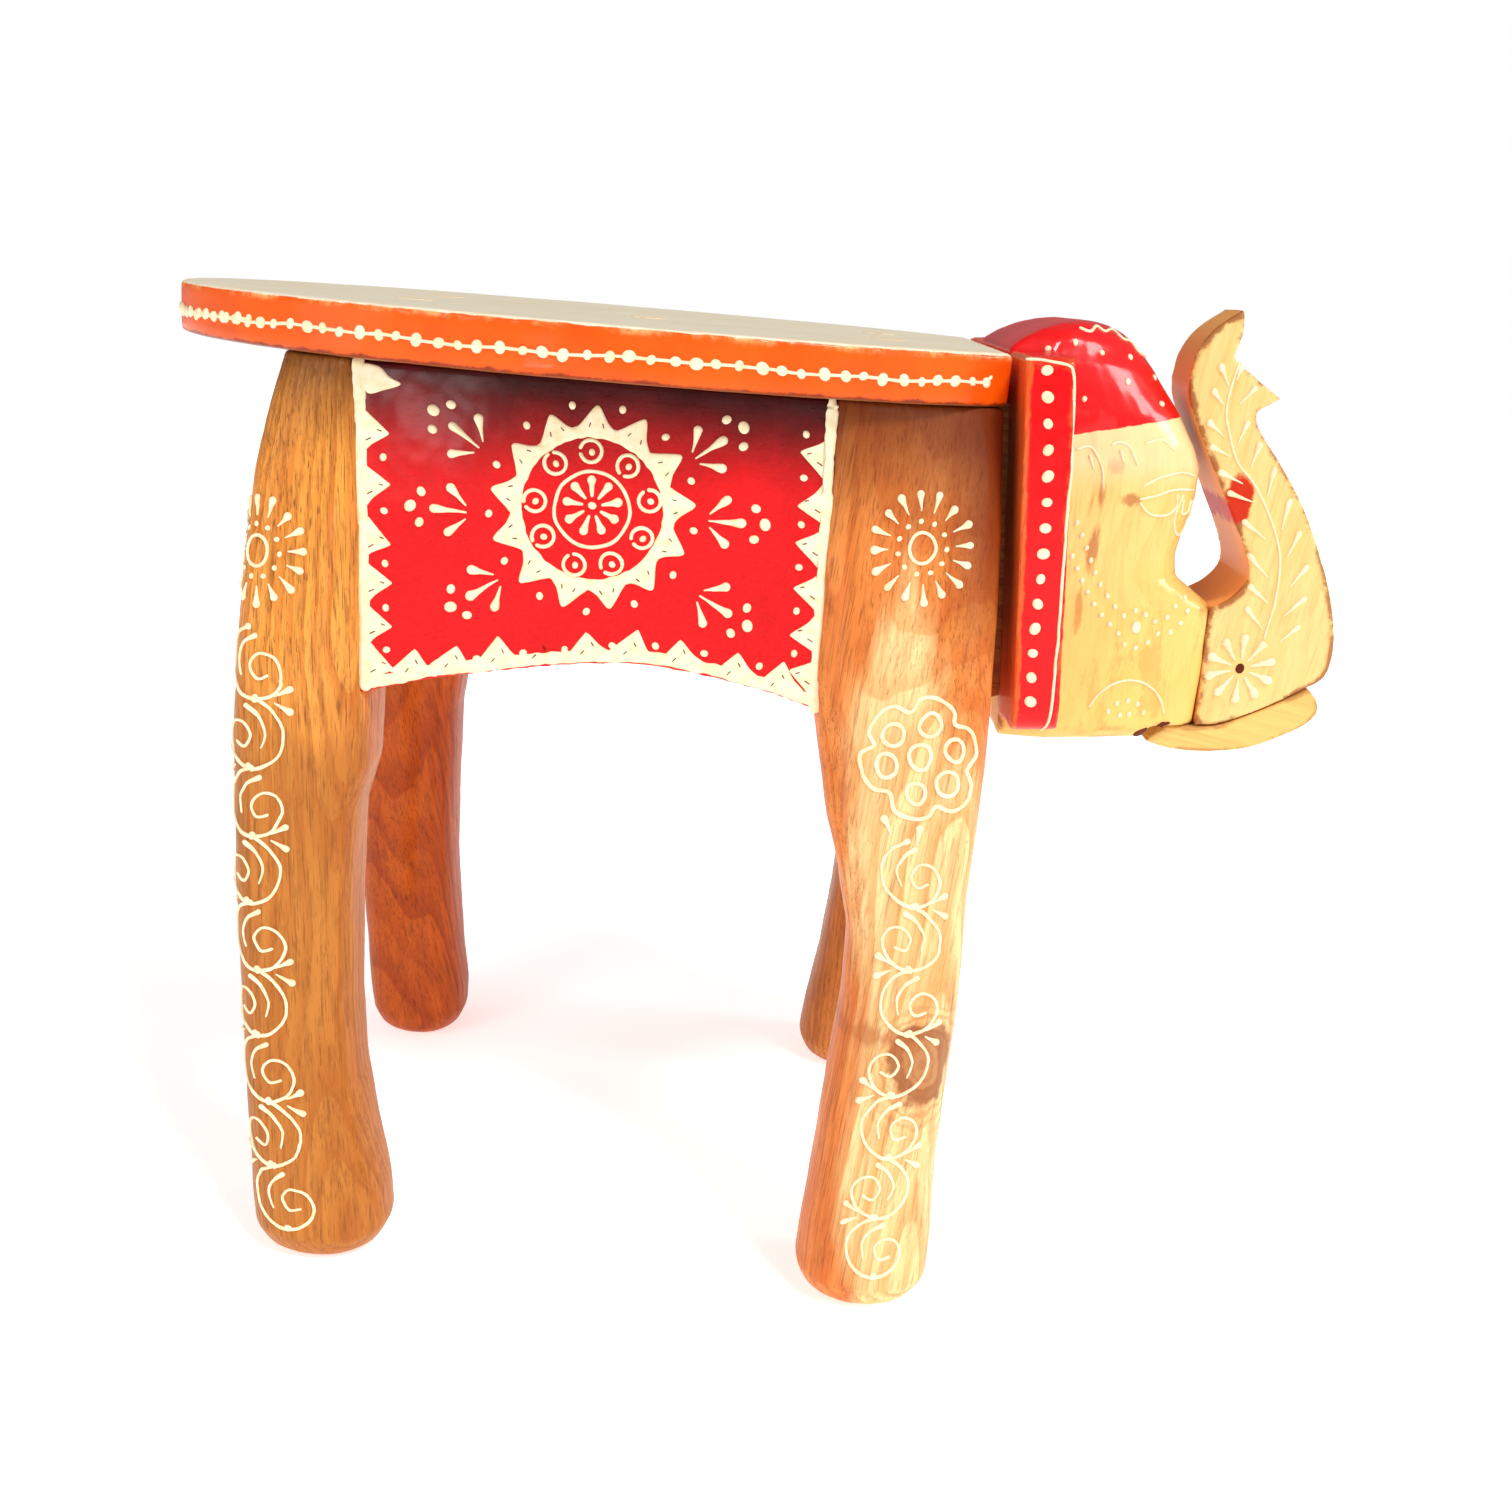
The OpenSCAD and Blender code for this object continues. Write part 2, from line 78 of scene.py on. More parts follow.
def add_camera():
    yaw, pitch, roll = (math.radians(a) for a in (CAMERA_YAW, CAMERA_PITCH, CAMERA_ROLL))
    forward = Vector((math.sin(yaw) * math.cos(pitch), math.cos(yaw) * math.cos(pitch), -math.sin(pitch)))
    level = Vector((math.cos(yaw), -math.sin(yaw), 0))
    upright = level.cross(forward)
    across = math.cos(roll) * level + math.sin(roll) * upright
    upward = math.cos(roll) * upright - math.sin(roll) * level
    data = bpy.data.cameras.new("camera")
    data.lens = CAMERA_LENS
    data.sensor_width = SENSOR_WIDTH
    data.clip_start = 0.01
    camera = link(bpy.data.objects.new("camera", data))
    turn = Matrix((across, upward, -forward)).transposed().to_4x4()
    camera.matrix_world = Matrix.Translation(CAMERA_AT) @ turn
    bpy.context.scene.camera = camera


def add_light(name, kind, direction, energy):
    data = bpy.data.lights.new(name, kind)
    data.energy = energy
    light = link(bpy.data.objects.new(name, data))
    light.rotation_euler = Vector(direction).to_track_quat("-Z", "Y").to_euler()
    return light


def add_lights():
    for name, direction, strength, spread in SUNS:
        add_light(name, "SUN", direction, strength).data.angle = math.radians(spread)
    for name, place, aim, size, power, colour in PANELS:
        light = add_light(name, "AREA", Vector(aim) - Vector(place), power)
        light.location = place
        light.data.shape = "DISK"
        light.data.size = size
        light.data.color = colour


def add_world():
    """A white world that lights the object less than it shows to the camera."""
    world = bpy.data.worlds.new("white_studio")
    world.use_nodes = True
    tree = world.node_tree
    background = tree.nodes["Background"]
    background.inputs["Color"].default_value = (1, 1, 1, 1)
    seen = tree.nodes.new("ShaderNodeLightPath")
    levels = []
    for ray, level in (("Is Diffuse Ray", WORLD_DIFFUSE), ("Is Glossy Ray", WORLD_GLOSSY)):
        node = tree.nodes.new("ShaderNodeMath")
        node.operation = "MULTIPLY_ADD"
        node.inputs[1].default_value = level - 1
        node.inputs[2].default_value = 1.0
        tree.links.new(seen.outputs[ray], node.inputs[0])
        levels.append(node)
    tree.links.new(levels[0].outputs[0], levels[1].inputs[2])
    tree.links.new(levels[1].outputs[0], background.inputs["Strength"])
    bpy.context.scene.world = world
    bpy.context.scene.view_settings.view_transform = "Standard"


# ---- Node materials ----

SHEEN_LEVEL = 0.12
ORIGIN = (0, 0, 0)


def srgb(red, green, blue):
    """A colour given as 0 to 255 display values, as linear RGBA."""
    values = (c / 255 for c in (red, green, blue))
    linear = [v / 12.92 if v <= 0.04045 else ((v + 0.055) / 1.055) ** 2.4 for v in values]
    return (*linear, 1)


def shades(*colours):
    """The light, middle and dark colours of a wood."""
    return [srgb(*colour) for colour in colours]


class Shader:
    """A Principled material and short ways to add the nodes that feed it."""

    def __init__(self, name, roughness=0.5, coat=0.0, coat_roughness=0.1, metallic=0.0):
        self.material = bpy.data.materials.new(name)
        self.material.use_nodes = True
        self.tree = self.material.node_tree
        self.sockets = self.tree.nodes["Principled BSDF"].inputs
        self.sockets["Roughness"].default_value = roughness
        self.sockets["Coat Weight"].default_value = coat
        self.sockets["Coat Roughness"].default_value = coat_roughness
        self.sockets["Metallic"].default_value = metallic
        self.sockets["Specular IOR Level"].default_value = SHEEN_LEVEL
        self.place = self.node("ShaderNodeTexCoord").outputs["Object"]

    def node(self, kind, inputs=None, **settings):
        node = self.tree.nodes.new(kind)
        for key, value in settings.items():
            setattr(node, key, value)
        for key, value in (inputs or {}).items():
            self.feed(node.inputs[key], value)
        return node

    def feed(self, socket, value):
        if isinstance(value, bpy.types.NodeSocket):
            self.tree.links.new(value, socket)
        else:
            socket.default_value = value

    def math(self, operation, a, b=0.0, c=0.0):
        return self.node("ShaderNodeMath", {0: a, 1: b, 2: c}, operation=operation).outputs[0]

    def times(self, a, b):
        return self.math("MULTIPLY", a, b)

    def scaled(self, value, factor, offset):
        """value * factor + offset."""
        return self.math("MULTIPLY_ADD", value, factor, offset)

    def noise(self, scale, detail=3.0, roughness=0.5, vector=None, distortion=0.0):
        inputs = {"Vector": vector or self.place, "Scale": scale, "Detail": detail, "Roughness": roughness,
                  "Distortion": distortion}
        return self.node("ShaderNodeTexNoise", inputs).outputs["Fac"]

    def ragged(self, value, depth, scale, detail=4.0, roughness=0.6):
        """`value` made uneven by noise."""
        return self.scaled(self.noise(scale, detail, roughness), depth, value)

    def attribute(self, name):
        return self.node("ShaderNodeAttribute", attribute_name=name).outputs["Fac"]

    def step(self, value, low, high):
        """Rises smoothly from 0 at `low` to 1 at `high`; `low` may be the greater of the two."""
        inputs = {"Value": value, "From Min": low, "From Max": high, "To Min": 0.0, "To Max": 1.0}
        return self.node("ShaderNodeMapRange", inputs, interpolation_type="SMOOTHSTEP").outputs[0]

    def mix(self, factor, a, b):
        node = self.node("ShaderNodeMix", data_type="RGBA")
        for socket, value in ((0, factor), (6, a), (7, b)):
            self.feed(node.inputs[socket], value)
        return node.outputs[2]

    def tint(self, colour, factor, amount, target):
        """`colour`, moved towards `target` by factor * amount."""
        return self.mix(self.times(factor, amount), colour, target)

    def axis(self, index, vector=None):
        return self.node("ShaderNodeSeparateXYZ", {0: vector or self.place}).outputs[index]

    def facing(self, index):
        """One component of the surface normal."""
        return self.axis(index, self.node("ShaderNodeNewGeometry").outputs["Normal"])

    def turned(self, pith=ORIGIN, tilt=ORIGIN, stretch=(1.0, 1.0, 1.0)):
        """Object coordinates moved so that the pith is the Z axis."""
        vector = self.place
        steps = [("Location", tuple(-p * MM for p in pith)),
                 ("Rotation", tuple(math.radians(a) for a in tilt)), ("Scale", stretch)]
        for key, value in steps:
            vector = self.node("ShaderNodeMapping", {"Vector": vector, key: value}).outputs[0]
        return vector

    def length(self, vector):
        return self.node("ShaderNodeVectorMath", {0: vector}, operation="LENGTH").outputs["Value"]

    def distance(self, middle, spread):
        """Distance from `middle`, with each axis multiplied by `spread`."""
        away = self.place
        for operation, value in (("SUBTRACT", middle), ("MULTIPLY", spread)):
            away = self.node("ShaderNodeVectorMath", {0: away, 1: value}, operation=operation).outputs[0]
        return self.length(away)

    def bump(self, height, distance, strength=1.0, below=None):
        inputs = {"Height": height, "Distance": distance * MM, "Strength": strength}
        if below is not None:
            inputs["Normal"] = below
        return self.node("ShaderNodeBump", inputs).outputs[0]

    def finish(self, colour, normal=None, roughness=None):
        for key, value in (("Base Color", colour), ("Normal", normal), ("Roughness", roughness)):
            if value is not None:
                self.feed(self.sockets[key], value)
        return self.material


def wood_layers(shader, wood, pith, tilt, ring=2.6, wave=0.9, pores=0.5, contrast=1.0, mottle=0.0):
    """Growth rings, fibres and pores of a plank or a log. Returns its colour and its bump."""
    light, middle, dark = wood

    def grain(scale, detail, roughness, draw):
        """Noise drawn out along the pith."""
        return shader.noise(scale, detail, roughness, shader.turned(pith, tilt, (1.0, 1.0, draw)))

    rings = shader.times(shader.length(shader.turned(pith, tilt, (1.0, 1.0, 0.0))), 1 / (ring * MM))
    rings = shader.scaled(grain(14.0, 2.0, 0.5, 0.12), 9.0 * wave, rings)
    rings = shader.scaled(grain(60.0, 2.0, 0.5, 0.12), 0.8 * wave, rings)
    phase = shader.math("FRACT", rings)
    late = shader.times(shader.step(phase, 0.25, 0.9), shader.step(phase, 1.0, 0.93))
    each = shader.node("ShaderNodeTexWhiteNoise", {"W": shader.math("FLOOR", rings)}, noise_dimensions="1D")
    late = shader.times(late, shader.scaled(each.outputs["Value"], 0.6, 0.4))
    fibre = grain(700.0, 5.0, 0.65, 0.035)
    streak = shader.step(grain(160.0, 3.0, 0.6, 0.05), 0.42, 0.75)
    pore = shader.step(grain(2300.0, 2.0, 0.5, 0.03), 0.57, 0.68)
    cloud = shader.step(shader.noise(22.0, 3.0, 0.5), 0.4, 0.75)
    colour = shader.tint(light, late, 0.75 * contrast, middle)
    colour = shader.tint(colour, streak, 0.55 * contrast, middle)
    colour = shader.tint(colour, shader.step(fibre, 0.45, 0.8), 0.5 * contrast, dark)
    colour = shader.tint(colour, cloud, 0.35, middle)
    colour = shader.tint(colour, pore, pores, dark)
    if mottle:
        colour = shader.tint(colour, shader.step(grain(420.0, 6.0, 0.8, 0.2), 0.47, 0.7), mottle, dark)
    height = shader.math("SUBTRACT", shader.times(fibre, 0.5), shader.times(pore, 0.8))
    return colour, height


def worn(shader):
    """Where the mesh is sharply convex: corners rubbed thin."""
    patchy = shader.step(shader.noise(60.0, 6.0, 0.75), 0.36, 0.66)
    return shader.step(shader.times(shader.attribute("sharpness"), patchy), 0.04, 0.3)


def painted_shade_under_seat(shader, colour, dark, low, high, amount):
    """Painted shade: darkens the wood close under the seat, where the seat's shadow falls."""
    ragged = shader.ragged(shader.axis(2), 0.02, 30.0)
    return shader.tint(colour, shader.step(ragged, low, high), amount, dark)


def stain(shader, place, size):
    """1 inside a ragged upright patch on both sides of a piece. Its middle and half size are (x, z), mm."""
    reach = shader.distance((place[0] * MM, 0, place[1] * MM), (1 / (size[0] * MM), 0, 1 / (size[1] * MM)))
    streaks = shader.noise(170.0, 5.0, 0.7, shader.turned(stretch=(1.0, 1.0, 0.3)))
    return shader.step(shader.scaled(streaks, 3.2, reach), 2.75, 2.0)


# under_seat is the strength of the painted shade under the seat.
def wood_material(name, wood, pith, tilt, edge=None, under_seat=0.0, **settings):
    shader = Shader(name, roughness=0.55, coat=0.2, coat_roughness=0.16)
    colour, height = wood_layers(shader, wood, pith, tilt, **settings)
    if edge:
        colour = shader.tint(colour, worn(shader), 0.5, edge)
    if under_seat:
        # Painted shade: the leg darkens under the seat, where the seat's shadow falls.
        colour = painted_shade_under_seat(shader, colour, wood[2], 0.262, 0.3, under_seat)
        handled = shader.ragged(shader.axis(2), 0.16, 26.0)
        colour = shader.tint(colour, shader.step(handled, 0.3, 0.22), 0.55, srgb(150, 80, 20))
    return shader.finish(colour, shader.bump(height, 0.12, 0.6))


def painted_bump(shader):
    """Brushed gloss paint: orange peel, fine specks and the fibres under it."""
    peel = shader.noise(330.0, 2.0, 0.5)
    speck = shader.step(shader.noise(900.0, 3.0, 0.7), 0.56, 0.7)
    fibre = shader.noise(600.0, 3.0, 0.6, shader.turned(stretch=(0.04, 1.0, 1.0)))
    height = shader.math("ADD", shader.times(peel, 0.7), shader.times(speck, 0.5))
    return shader.scaled(fibre, 0.5, height)


BARE_WOOD = srgb(196, 112, 52)


def red_colour(shader):
    cloud = shader.step(shader.noise(38.0, 4.0, 0.6), 0.35, 0.75)
    return shader.mix(cloud, srgb(240, 8, 14), srgb(214, 3, 8))


def red_material():
    shader = Shader("red_gloss_paint", roughness=0.42, coat=0.2, coat_roughness=0.12)
    colour = shader.tint(red_colour(shader), worn(shader), 0.6, BARE_WOOD)
    # Painted shade: the blanket's top darkens under the seat's overhang, where the seat's shadow falls.
    colour = painted_shade_under_seat(shader, colour, srgb(56, 0, 0), 0.262, 0.299, 1.0)
    return shader.finish(colour, shader.bump(painted_bump(shader), 0.4, 0.8))


EAR_LEAN = math.tan(math.radians(5))


def ear_material():
    """Red on the front and the edge of an ear board, rough orange-brown stain on its rear face."""
    shader = Shader("ear_paint", roughness=0.4, coat=0.3, coat_roughness=0.12)
    behind = shader.scaled(shader.axis(2), EAR_LEAN, shader.axis(0))
    rear = shader.step(shader.ragged(behind, 0.004, 120.0, 4.0, 0.65), 0.1027, 0.1018)
    stained = shades((252, 116, 52), (236, 78, 24), (150, 48, 16))
    wood, height = wood_layers(shader, stained, (60, 60, 0), ORIGIN)
    red = shader.tint(red_colour(shader), worn(shader), 0.5, BARE_WOOD)
    relief = shader.bump(painted_bump(shader), 0.14, 0.5, shader.bump(height, 0.1, 0.5))
    return shader.finish(shader.mix(rear, red, wood), relief)


def seat_material():
    """Pale lacquered boards on top and below, orange gloss paint on the rim."""
    shader = Shader("seat_wood_and_rim_paint", roughness=0.45, coat=0.3, coat_roughness=0.14)
    z = shader.axis(2)
    top, height = wood_layers(shader, shades((255, 247, 222), (252, 228, 186), (220, 168, 116)),
                              (0, -40, 240), (0, 90, 4), ring=3.2, contrast=0.8)
    cloud = shader.step(shader.noise(45.0, 3.0, 0.6), 0.3, 0.8)
    orange = shader.mix(cloud, srgb(244, 96, 6), srgb(232, 82, 4))
    orange = shader.tint(orange, worn(shader), shader.step(z, 0.299, 0.303), srgb(250, 176, 110))
    # Painted shade: a ragged dark band along the rim's lower edge, where it turns under the seat.
    lower_edge = shader.step(shader.ragged(z, 0.0035, 130.0, 4.0, 0.7), 0.2925, 0.2915)
    orange = shader.tint(orange, lower_edge, 0.85, srgb(120, 34, 6))
    on_top = shader.step(shader.ragged(shader.facing(2), 0.5, 150.0, 4.0, 0.65), 0.82, 1.0)
    colour = shader.mix(on_top, orange, top)
    colour = shader.mix(shader.step(shader.facing(2), -0.6, -0.85), colour, srgb(150, 84, 44))
    relief = shader.bump(painted_bump(shader), 0.16, 0.5, shader.bump(height, 0.08, 0.5))
    return shader.finish(colour, relief)


# Old dirt on the cheeks: middle (x, z) and half size, mm
CHEEK_STAINS = [((107.4, 262), (1.6, 7)), ((106.8, 246), (1.9, 9)), ((111, 272), (3.5, 3)),
                ((118.6, 261), (4.5, 2.2)), ((104.8, 224), (1.2, 7))]


def head_material():
    """Pale yellow wood with brown rubbed edges; a red cap above a ragged painted boundary."""
    shader = Shader("head_wood_and_cap_paint", roughness=0.45, coat=0.45, coat_roughness=0.14)
    x, z = shader.axis(0), shader.axis(2)
    wood, height = wood_layers(shader, shades((248, 208, 124), (234, 180, 94), (180, 108, 46)),
                               (110, 60, 0), (6, 4, 0), ring=4.5, pores=0.08, contrast=0.6)
    streaky = shader.turned(stretch=(1.0, 1.0, 0.3))
    brown = shader.step(shader.noise(75.0, 5.0, 0.75, streaky, 0.5), 0.56, 0.66)
    wood = shader.tint(wood, brown, 0.5, srgb(180, 98, 40))
    for place, size in CHEEK_STAINS:
        wood = shader.tint(wood, stain(shader, place, size), 0.75, srgb(176, 100, 44))
    wood = shader.tint(wood, shader.step(z, 0.25, 0.2), 0.5, srgb(250, 196, 92))
    wood = shader.tint(wood, worn(shader), 0.85, srgb(166, 84, 30))
    wood = shader.tint(wood, shader.step(z, 0.262, 0.274), 0.6, srgb(244, 218, 170))
    cap = shader.step(shader.ragged(shader.scaled(x, -0.17, z), 0.0016, 110.0, 3.0), 0.2652, 0.2656)
    layer = shader.bump(cap, 0.25, 0.6, shader.bump(height, 0.08, 0.5))
    relief = shader.bump(painted_bump(shader), 0.1, 0.3, layer)
    return shader.finish(shader.mix(cap, wood, red_colour(shader)), relief)


def trunk_material():
    """Pale yellow plank: browned sawn edges and a red brush mark above the gap."""
    shader = Shader("trunk_wood", roughness=0.5, coat=0.12, coat_roughness=0.2)
    wood, height = wood_layers(shader, shades((250, 214, 140), (238, 188, 108), (186, 118, 56)),
                               (150, 60, 0), (4, -8, 0), ring=4.0, pores=0.1, contrast=0.65)
    sideways = shader.math("ABSOLUTE", shader.facing(1))
    sawn = shader.step(shader.ragged(sideways, 0.5, 70.0, 4.0, 0.65), 0.95, 0.6)
    wood = shader.tint(wood, sawn, 0.8, srgb(246, 160, 70))
    wood = shader.tint(wood, worn(shader), 0.8, srgb(150, 74, 28))
    reach = shader.distance((0.1572, 0, 0.2622), (1.5, 0, 0.8))
    mark = shader.step(shader.ragged(reach, 0.006, 160.0, 3.0), 0.0105, 0.0085)
    wood = shader.mix(mark, wood, srgb(206, 52, 24))
    return shader.finish(wood, shader.bump(height, 0.1, 0.6))


def two_tone_wood(shader):
    """Red heartwood behind and above, pale sapwood in front and below, and fine dark lines in both."""
    pith, tilt = (20, -40, 0), (3, -5, 0)
    heart, height = wood_layers(shader, shades((240, 148, 72), (206, 98, 36), (112, 44, 12)), pith, tilt,
                                ring=3.4, contrast=1.1, mottle=0.3)
    sap, _ = wood_layers(shader, shades((253, 220, 156), (230, 166, 98), (164, 90, 40)), pith, tilt,
                         ring=2.4, wave=0.45, pores=0.35, contrast=1.5)
    x, y, z = (shader.axis(i) for i in range(3))
    streaks = shader.noise(190.0, 3.0, 0.6, shader.turned(pith, tilt, (1.0, 1.0, 0.04)))
    line = shader.scaled(y, -0.15, shader.scaled(z, 0.11, x))
    line = shader.scaled(streaks, 0.016, shader.ragged(line, 0.03, 18.0, 3.0, 0.5))
    off = shader.math("ABSOLUTE", shader.math("SUBTRACT", x, 0.044))
    crest = shader.scaled(off, 2.6, shader.scaled(streaks, 0.05, z))
    sapwood = shader.times(shader.step(line, 0.082, 0.093), shader.step(crest, 0.285, 0.25))
    drawn = shader.noise(330.0, 2.0, 0.5, shader.turned(pith, tilt, (1.0, 1.0, 0.014)))
    lines = shader.step(shader.math("ABSOLUTE", shader.math("SUBTRACT", drawn, 0.5)), 0.011, 0.0)
    return shader.tint(shader.mix(sapwood, heart, sap), lines, 0.42, srgb(184, 100, 46)), height


def add_knot(shader, colour):
    away = shader.distance((0.0635, -0.105, 0.087), (1.2, 0.4, 0.85))
    away = shader.ragged(away, 0.012, 70.0)
    swirl = shader.step(shader.math("SINE", shader.times(away, 1900.0)), -0.4, 1.0)
    swirl = shader.times(shader.step(away, 0.034, 0.012), swirl)
    rim = shader.times(shader.step(away, 0.0125, 0.0155), shader.step(away, 0.02, 0.0165))
    colour = shader.tint(colour, swirl, 0.6, srgb(176, 98, 50))
    colour = shader.tint(colour, shader.step(away, 0.0165, 0.0135), 0.8, srgb(178, 112, 66))
    colour = shader.tint(colour, rim, 0.8, srgb(146, 76, 36))
    return shader.tint(colour, stain(shader, (48, 95), (17, 4)), 0.55, srgb(176, 92, 40))


def two_tone_material():
    shader = Shader("two_tone_leg_wood", roughness=0.55, coat=0.2, coat_roughness=0.16)
    colour, height = two_tone_wood(shader)
    colour = add_knot(shader, colour)
    x, z = shader.axis(0), shader.axis(2)
    # Painted shade on the top of the leg behind the ear.
    painted_shade_behind_ear = shader.times(shader.step(x, 0.048, 0.07), shader.step(z, 0.2, 0.25))
    colour = shader.tint(colour, painted_shade_behind_ear, 0.85, srgb(130, 46, 6))
    # Painted shade under the seat, where the seat's shadow falls.
    colour = painted_shade_under_seat(shader, colour, srgb(96, 30, 4), 0.245, 0.3, 0.85)
    return shader.finish(colour, shader.bump(height, 0.12, 0.6))


def cream_material():
    """Cone-work paint: cream, turning brown towards where a line meets the surface."""
    shader = Shader("cream_cone_paint", roughness=0.45, coat=0.4, coat_roughness=0.2)
    cloud = shader.noise(260.0, 3.0, 0.6)
    cream = shader.mix(shader.step(cloud, 0.35, 0.75), srgb(255, 240, 204), srgb(246, 222, 172))
    foot = shader.step(shader.scaled(cloud, 0.5, shader.attribute("rim")), 1.0, 1.4)
    colour = shader.tint(cream, foot, 0.75, srgb(150, 84, 44))
    return shader.finish(colour, shader.bump(shader.noise(800.0, 2.0, 0.5), 0.05, 0.5))


# Dark brush marks; the same material paints the shade of the mouth's opening.
def mark_material():
    shader = Shader("dark_marks_and_mouth_shade", roughness=0.6)
    return shader.finish(shader.mix(shader.noise(500.0), srgb(70, 22, 10), srgb(130, 52, 28)))


def steel_material():
    shader = Shader("zinc_plated_steel", roughness=0.35, metallic=1.0)
    haze = shader.noise(900.0, 4.0, 0.6)
    colour = shader.mix(haze, srgb(150, 150, 152), srgb(205, 205, 204))
    return shader.finish(colour, shader.bump(haze, 0.02, 0.4), shader.step(haze, -0.6, 1.8))


PLAIN_BROWN = shades((204, 122, 50), (160, 84, 28), (92, 44, 12))
# Finish: material name, light, middle and dark colours, pith, tilt, other settings of wood_material
WOODS = {
    "golden": ("golden_leg_wood", shades((244, 162, 70), (206, 116, 40), (92, 42, 10)), (-175, -20, 0),
               (2, 3, 0), {"under_seat": 0.75, "ring": 2.2, "pores": 0.6, "contrast": 1.2, "mottle": 0.5}),
    "red_brown": ("red_brown_leg_wood", shades((210, 98, 20), (164, 60, 6), (84, 26, 2)),
                  (-118, 118, 60), (-14, 9, 0), {"ring": 4.2, "mottle": 0.4}),
    "plain_brown": ("brown_leg_wood", PLAIN_BROWN, (90, 40, 0), (4, -4, 0), {"ring": 3.0, "mottle": 0.35}),
    "body": ("inner_block_wood", PLAIN_BROWN, (-40, 0, 200), (0, 90, 0), {"ring": 3.5}),
    "lip": ("lip_wood", shades((246, 204, 120), (232, 178, 92), (180, 108, 46)), (150, 40, 120),
            (0, 80, 0), {"edge": srgb(160, 84, 34), "ring": 4.0, "pores": 0.1, "contrast": 0.5}),
    "dowel": ("dowel_wood", shades((206, 160, 104), (176, 122, 70), (120, 76, 40)), ORIGIN, (90, 0, 0),
              {"ring": 2.0}),
    "plug": ("plug_wood", shades((252, 234, 200), (244, 208, 160), (206, 150, 98)), (0, 60, 260),
             (0, 90, 30), {"ring": 2.4}),
}


def build_materials():
    """One material for each finish, by the name used in PIECES."""
    makers = {"seat": seat_material, "red": red_material, "ear": ear_material, "head": head_material,
              "trunk": trunk_material, "two_tone": two_tone_material, "steel": steel_material,
              "cream": cream_material, "marks": mark_material}
    materials = {finish: make() for finish, make in makers.items()}
    for finish, (name, wood, pith, tilt, settings) in WOODS.items():
        materials[finish] = wood_material(name, wood, pith, tilt, **settings)
    return materials


# ---- Carved pieces ----

# CAD node: finish, record slot, voxel size, smoothing steps, depth of the hand-carved unevenness
PIECES = {
    "seat_plank": ("seat", "orange_seat", 1.3, 4, 0.10),
    "blanket_block_right": ("red", "red_painted_wood", 1.1, 3, 0.12),
    "blanket_block_left": ("red", "red_painted_wood", 1.1, 3, 0.12),
    "leg_rear_right": ("golden", "golden_wood", 1.3, 6, 0.35),
    "leg_rear_left": ("red_brown", "red_brown_wood", 1.3, 6, 0.35),
    "leg_front_right": ("two_tone", "two_tone_wood", 1.3, 6, 0.35),
    "leg_front_left": ("plain_brown", "golden_wood", 1.3, 6, 0.35),
    "head_block": ("head", "pale_yellow_wood", 1.1, 4, 0.25),
    "ear_right": ("ear", "red_painted_wood", 0.9, 3, 0.12),
    "ear_left": ("ear", "red_painted_wood", 0.9, 3, 0.12),
    "trunk": ("trunk", "pale_yellow_wood", 0.9, 4, 0.2),
    "lower_lip": ("lip", "pale_yellow_wood", 0.7, 3, 0.15),
}
# CAD nodes that stay as they are: finish
KEPT_NODES = {"seat_screws": "steel", "lip_nails": "steel", "spine_block": "body",
              "leg_dowels": "dowel", "blanket_dowels": "dowel", "head_dowels": "dowel",
              "ear_dowels": "dowel", "trunk_dowels": "dowel"}
# Frequencies of the unevenness, per metre
CARVING_PITCH = 55.0
CHATTER_PITCH = 260.0
CHATTER_SHARE = 0.25


def apply_modifiers(obj):
    evaluated = obj.evaluated_get(bpy.context.evaluated_depsgraph_get())
    final = bpy.data.meshes.new_from_object(evaluated)
    obj.modifiers.clear()
    obj.data = final


def mark_sharpness(mesh):
    """Stores how convex the mesh is at each point, in 1/mm, for the worn edges of its material."""
    count = len(mesh.vertices)
    places = np.empty(count * 3, np.float32)
    normals = np.empty(count * 3, np.float32)
    ends = np.empty(len(mesh.edges) * 2, np.int32)
    mesh.vertices.foreach_get("co", places)
    mesh.vertex_normals.foreach_get("vector", normals)
    mesh.edges.foreach_get("vertices", ends)
    places, normals, ends = places.reshape(-1, 3) / MM, normals.reshape(-1, 3), ends.reshape(-1, 2)
    degree = np.bincount(ends.ravel(), minlength=count)
    lengths = np.linalg.norm(places[ends[:, 0]] - places[ends[:, 1]], axis=1)

    def around(values):
        total = np.bincount(ends[:, 0], values[ends[:, 1]], count)
        total += np.bincount(ends[:, 1], values[ends[:, 0]], count)
        return total / degree

    middle = np.stack([around(places[:, i]) for i in range(3)], axis=1)
    curve = 4 * ((places - middle) * normals).sum(axis=1) / np.mean(lengths) ** 2
    for _ in range(3):
        curve = 0.5 * curve + 0.5 * around(curve)
    mesh.attributes.new("sharpness", "FLOAT", "POINT").data.foreach_set("value", curve.astype(np.float32))


def carve(node, voxel, smoothing, depth):
    """A copy of a CAD node with rounded arrises and the slight unevenness of hand work."""
    obj = link(bpy.data.objects.new(node + "_wood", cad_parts[node].data.copy()))
    remesh = obj.modifiers.new("rounding", "REMESH")
    remesh.mode = "VOXEL"
    remesh.voxel_size = voxel * MM
    relax = obj.modifiers.new("rubbed", "SMOOTH")
    relax.iterations = smoothing
    apply_modifiers(obj)
    places = [vertex.co.copy() for vertex in obj.data.vertices]
    normals = [vertex.normal.copy() for vertex in obj.data.vertices]
    moved = []
    for place, normal in zip(places, normals):
        swell = noise.noise(place * CARVING_PITCH) + CHATTER_SHARE * noise.noise(place * CHATTER_PITCH)
        moved.extend(place + normal * ((swell - 0.5) * depth * MM))
    obj.data.vertices.foreach_set("co", moved)
    obj.data.update()
    mark_sharpness(obj.data)
    obj.data.shade_smooth()
    return obj


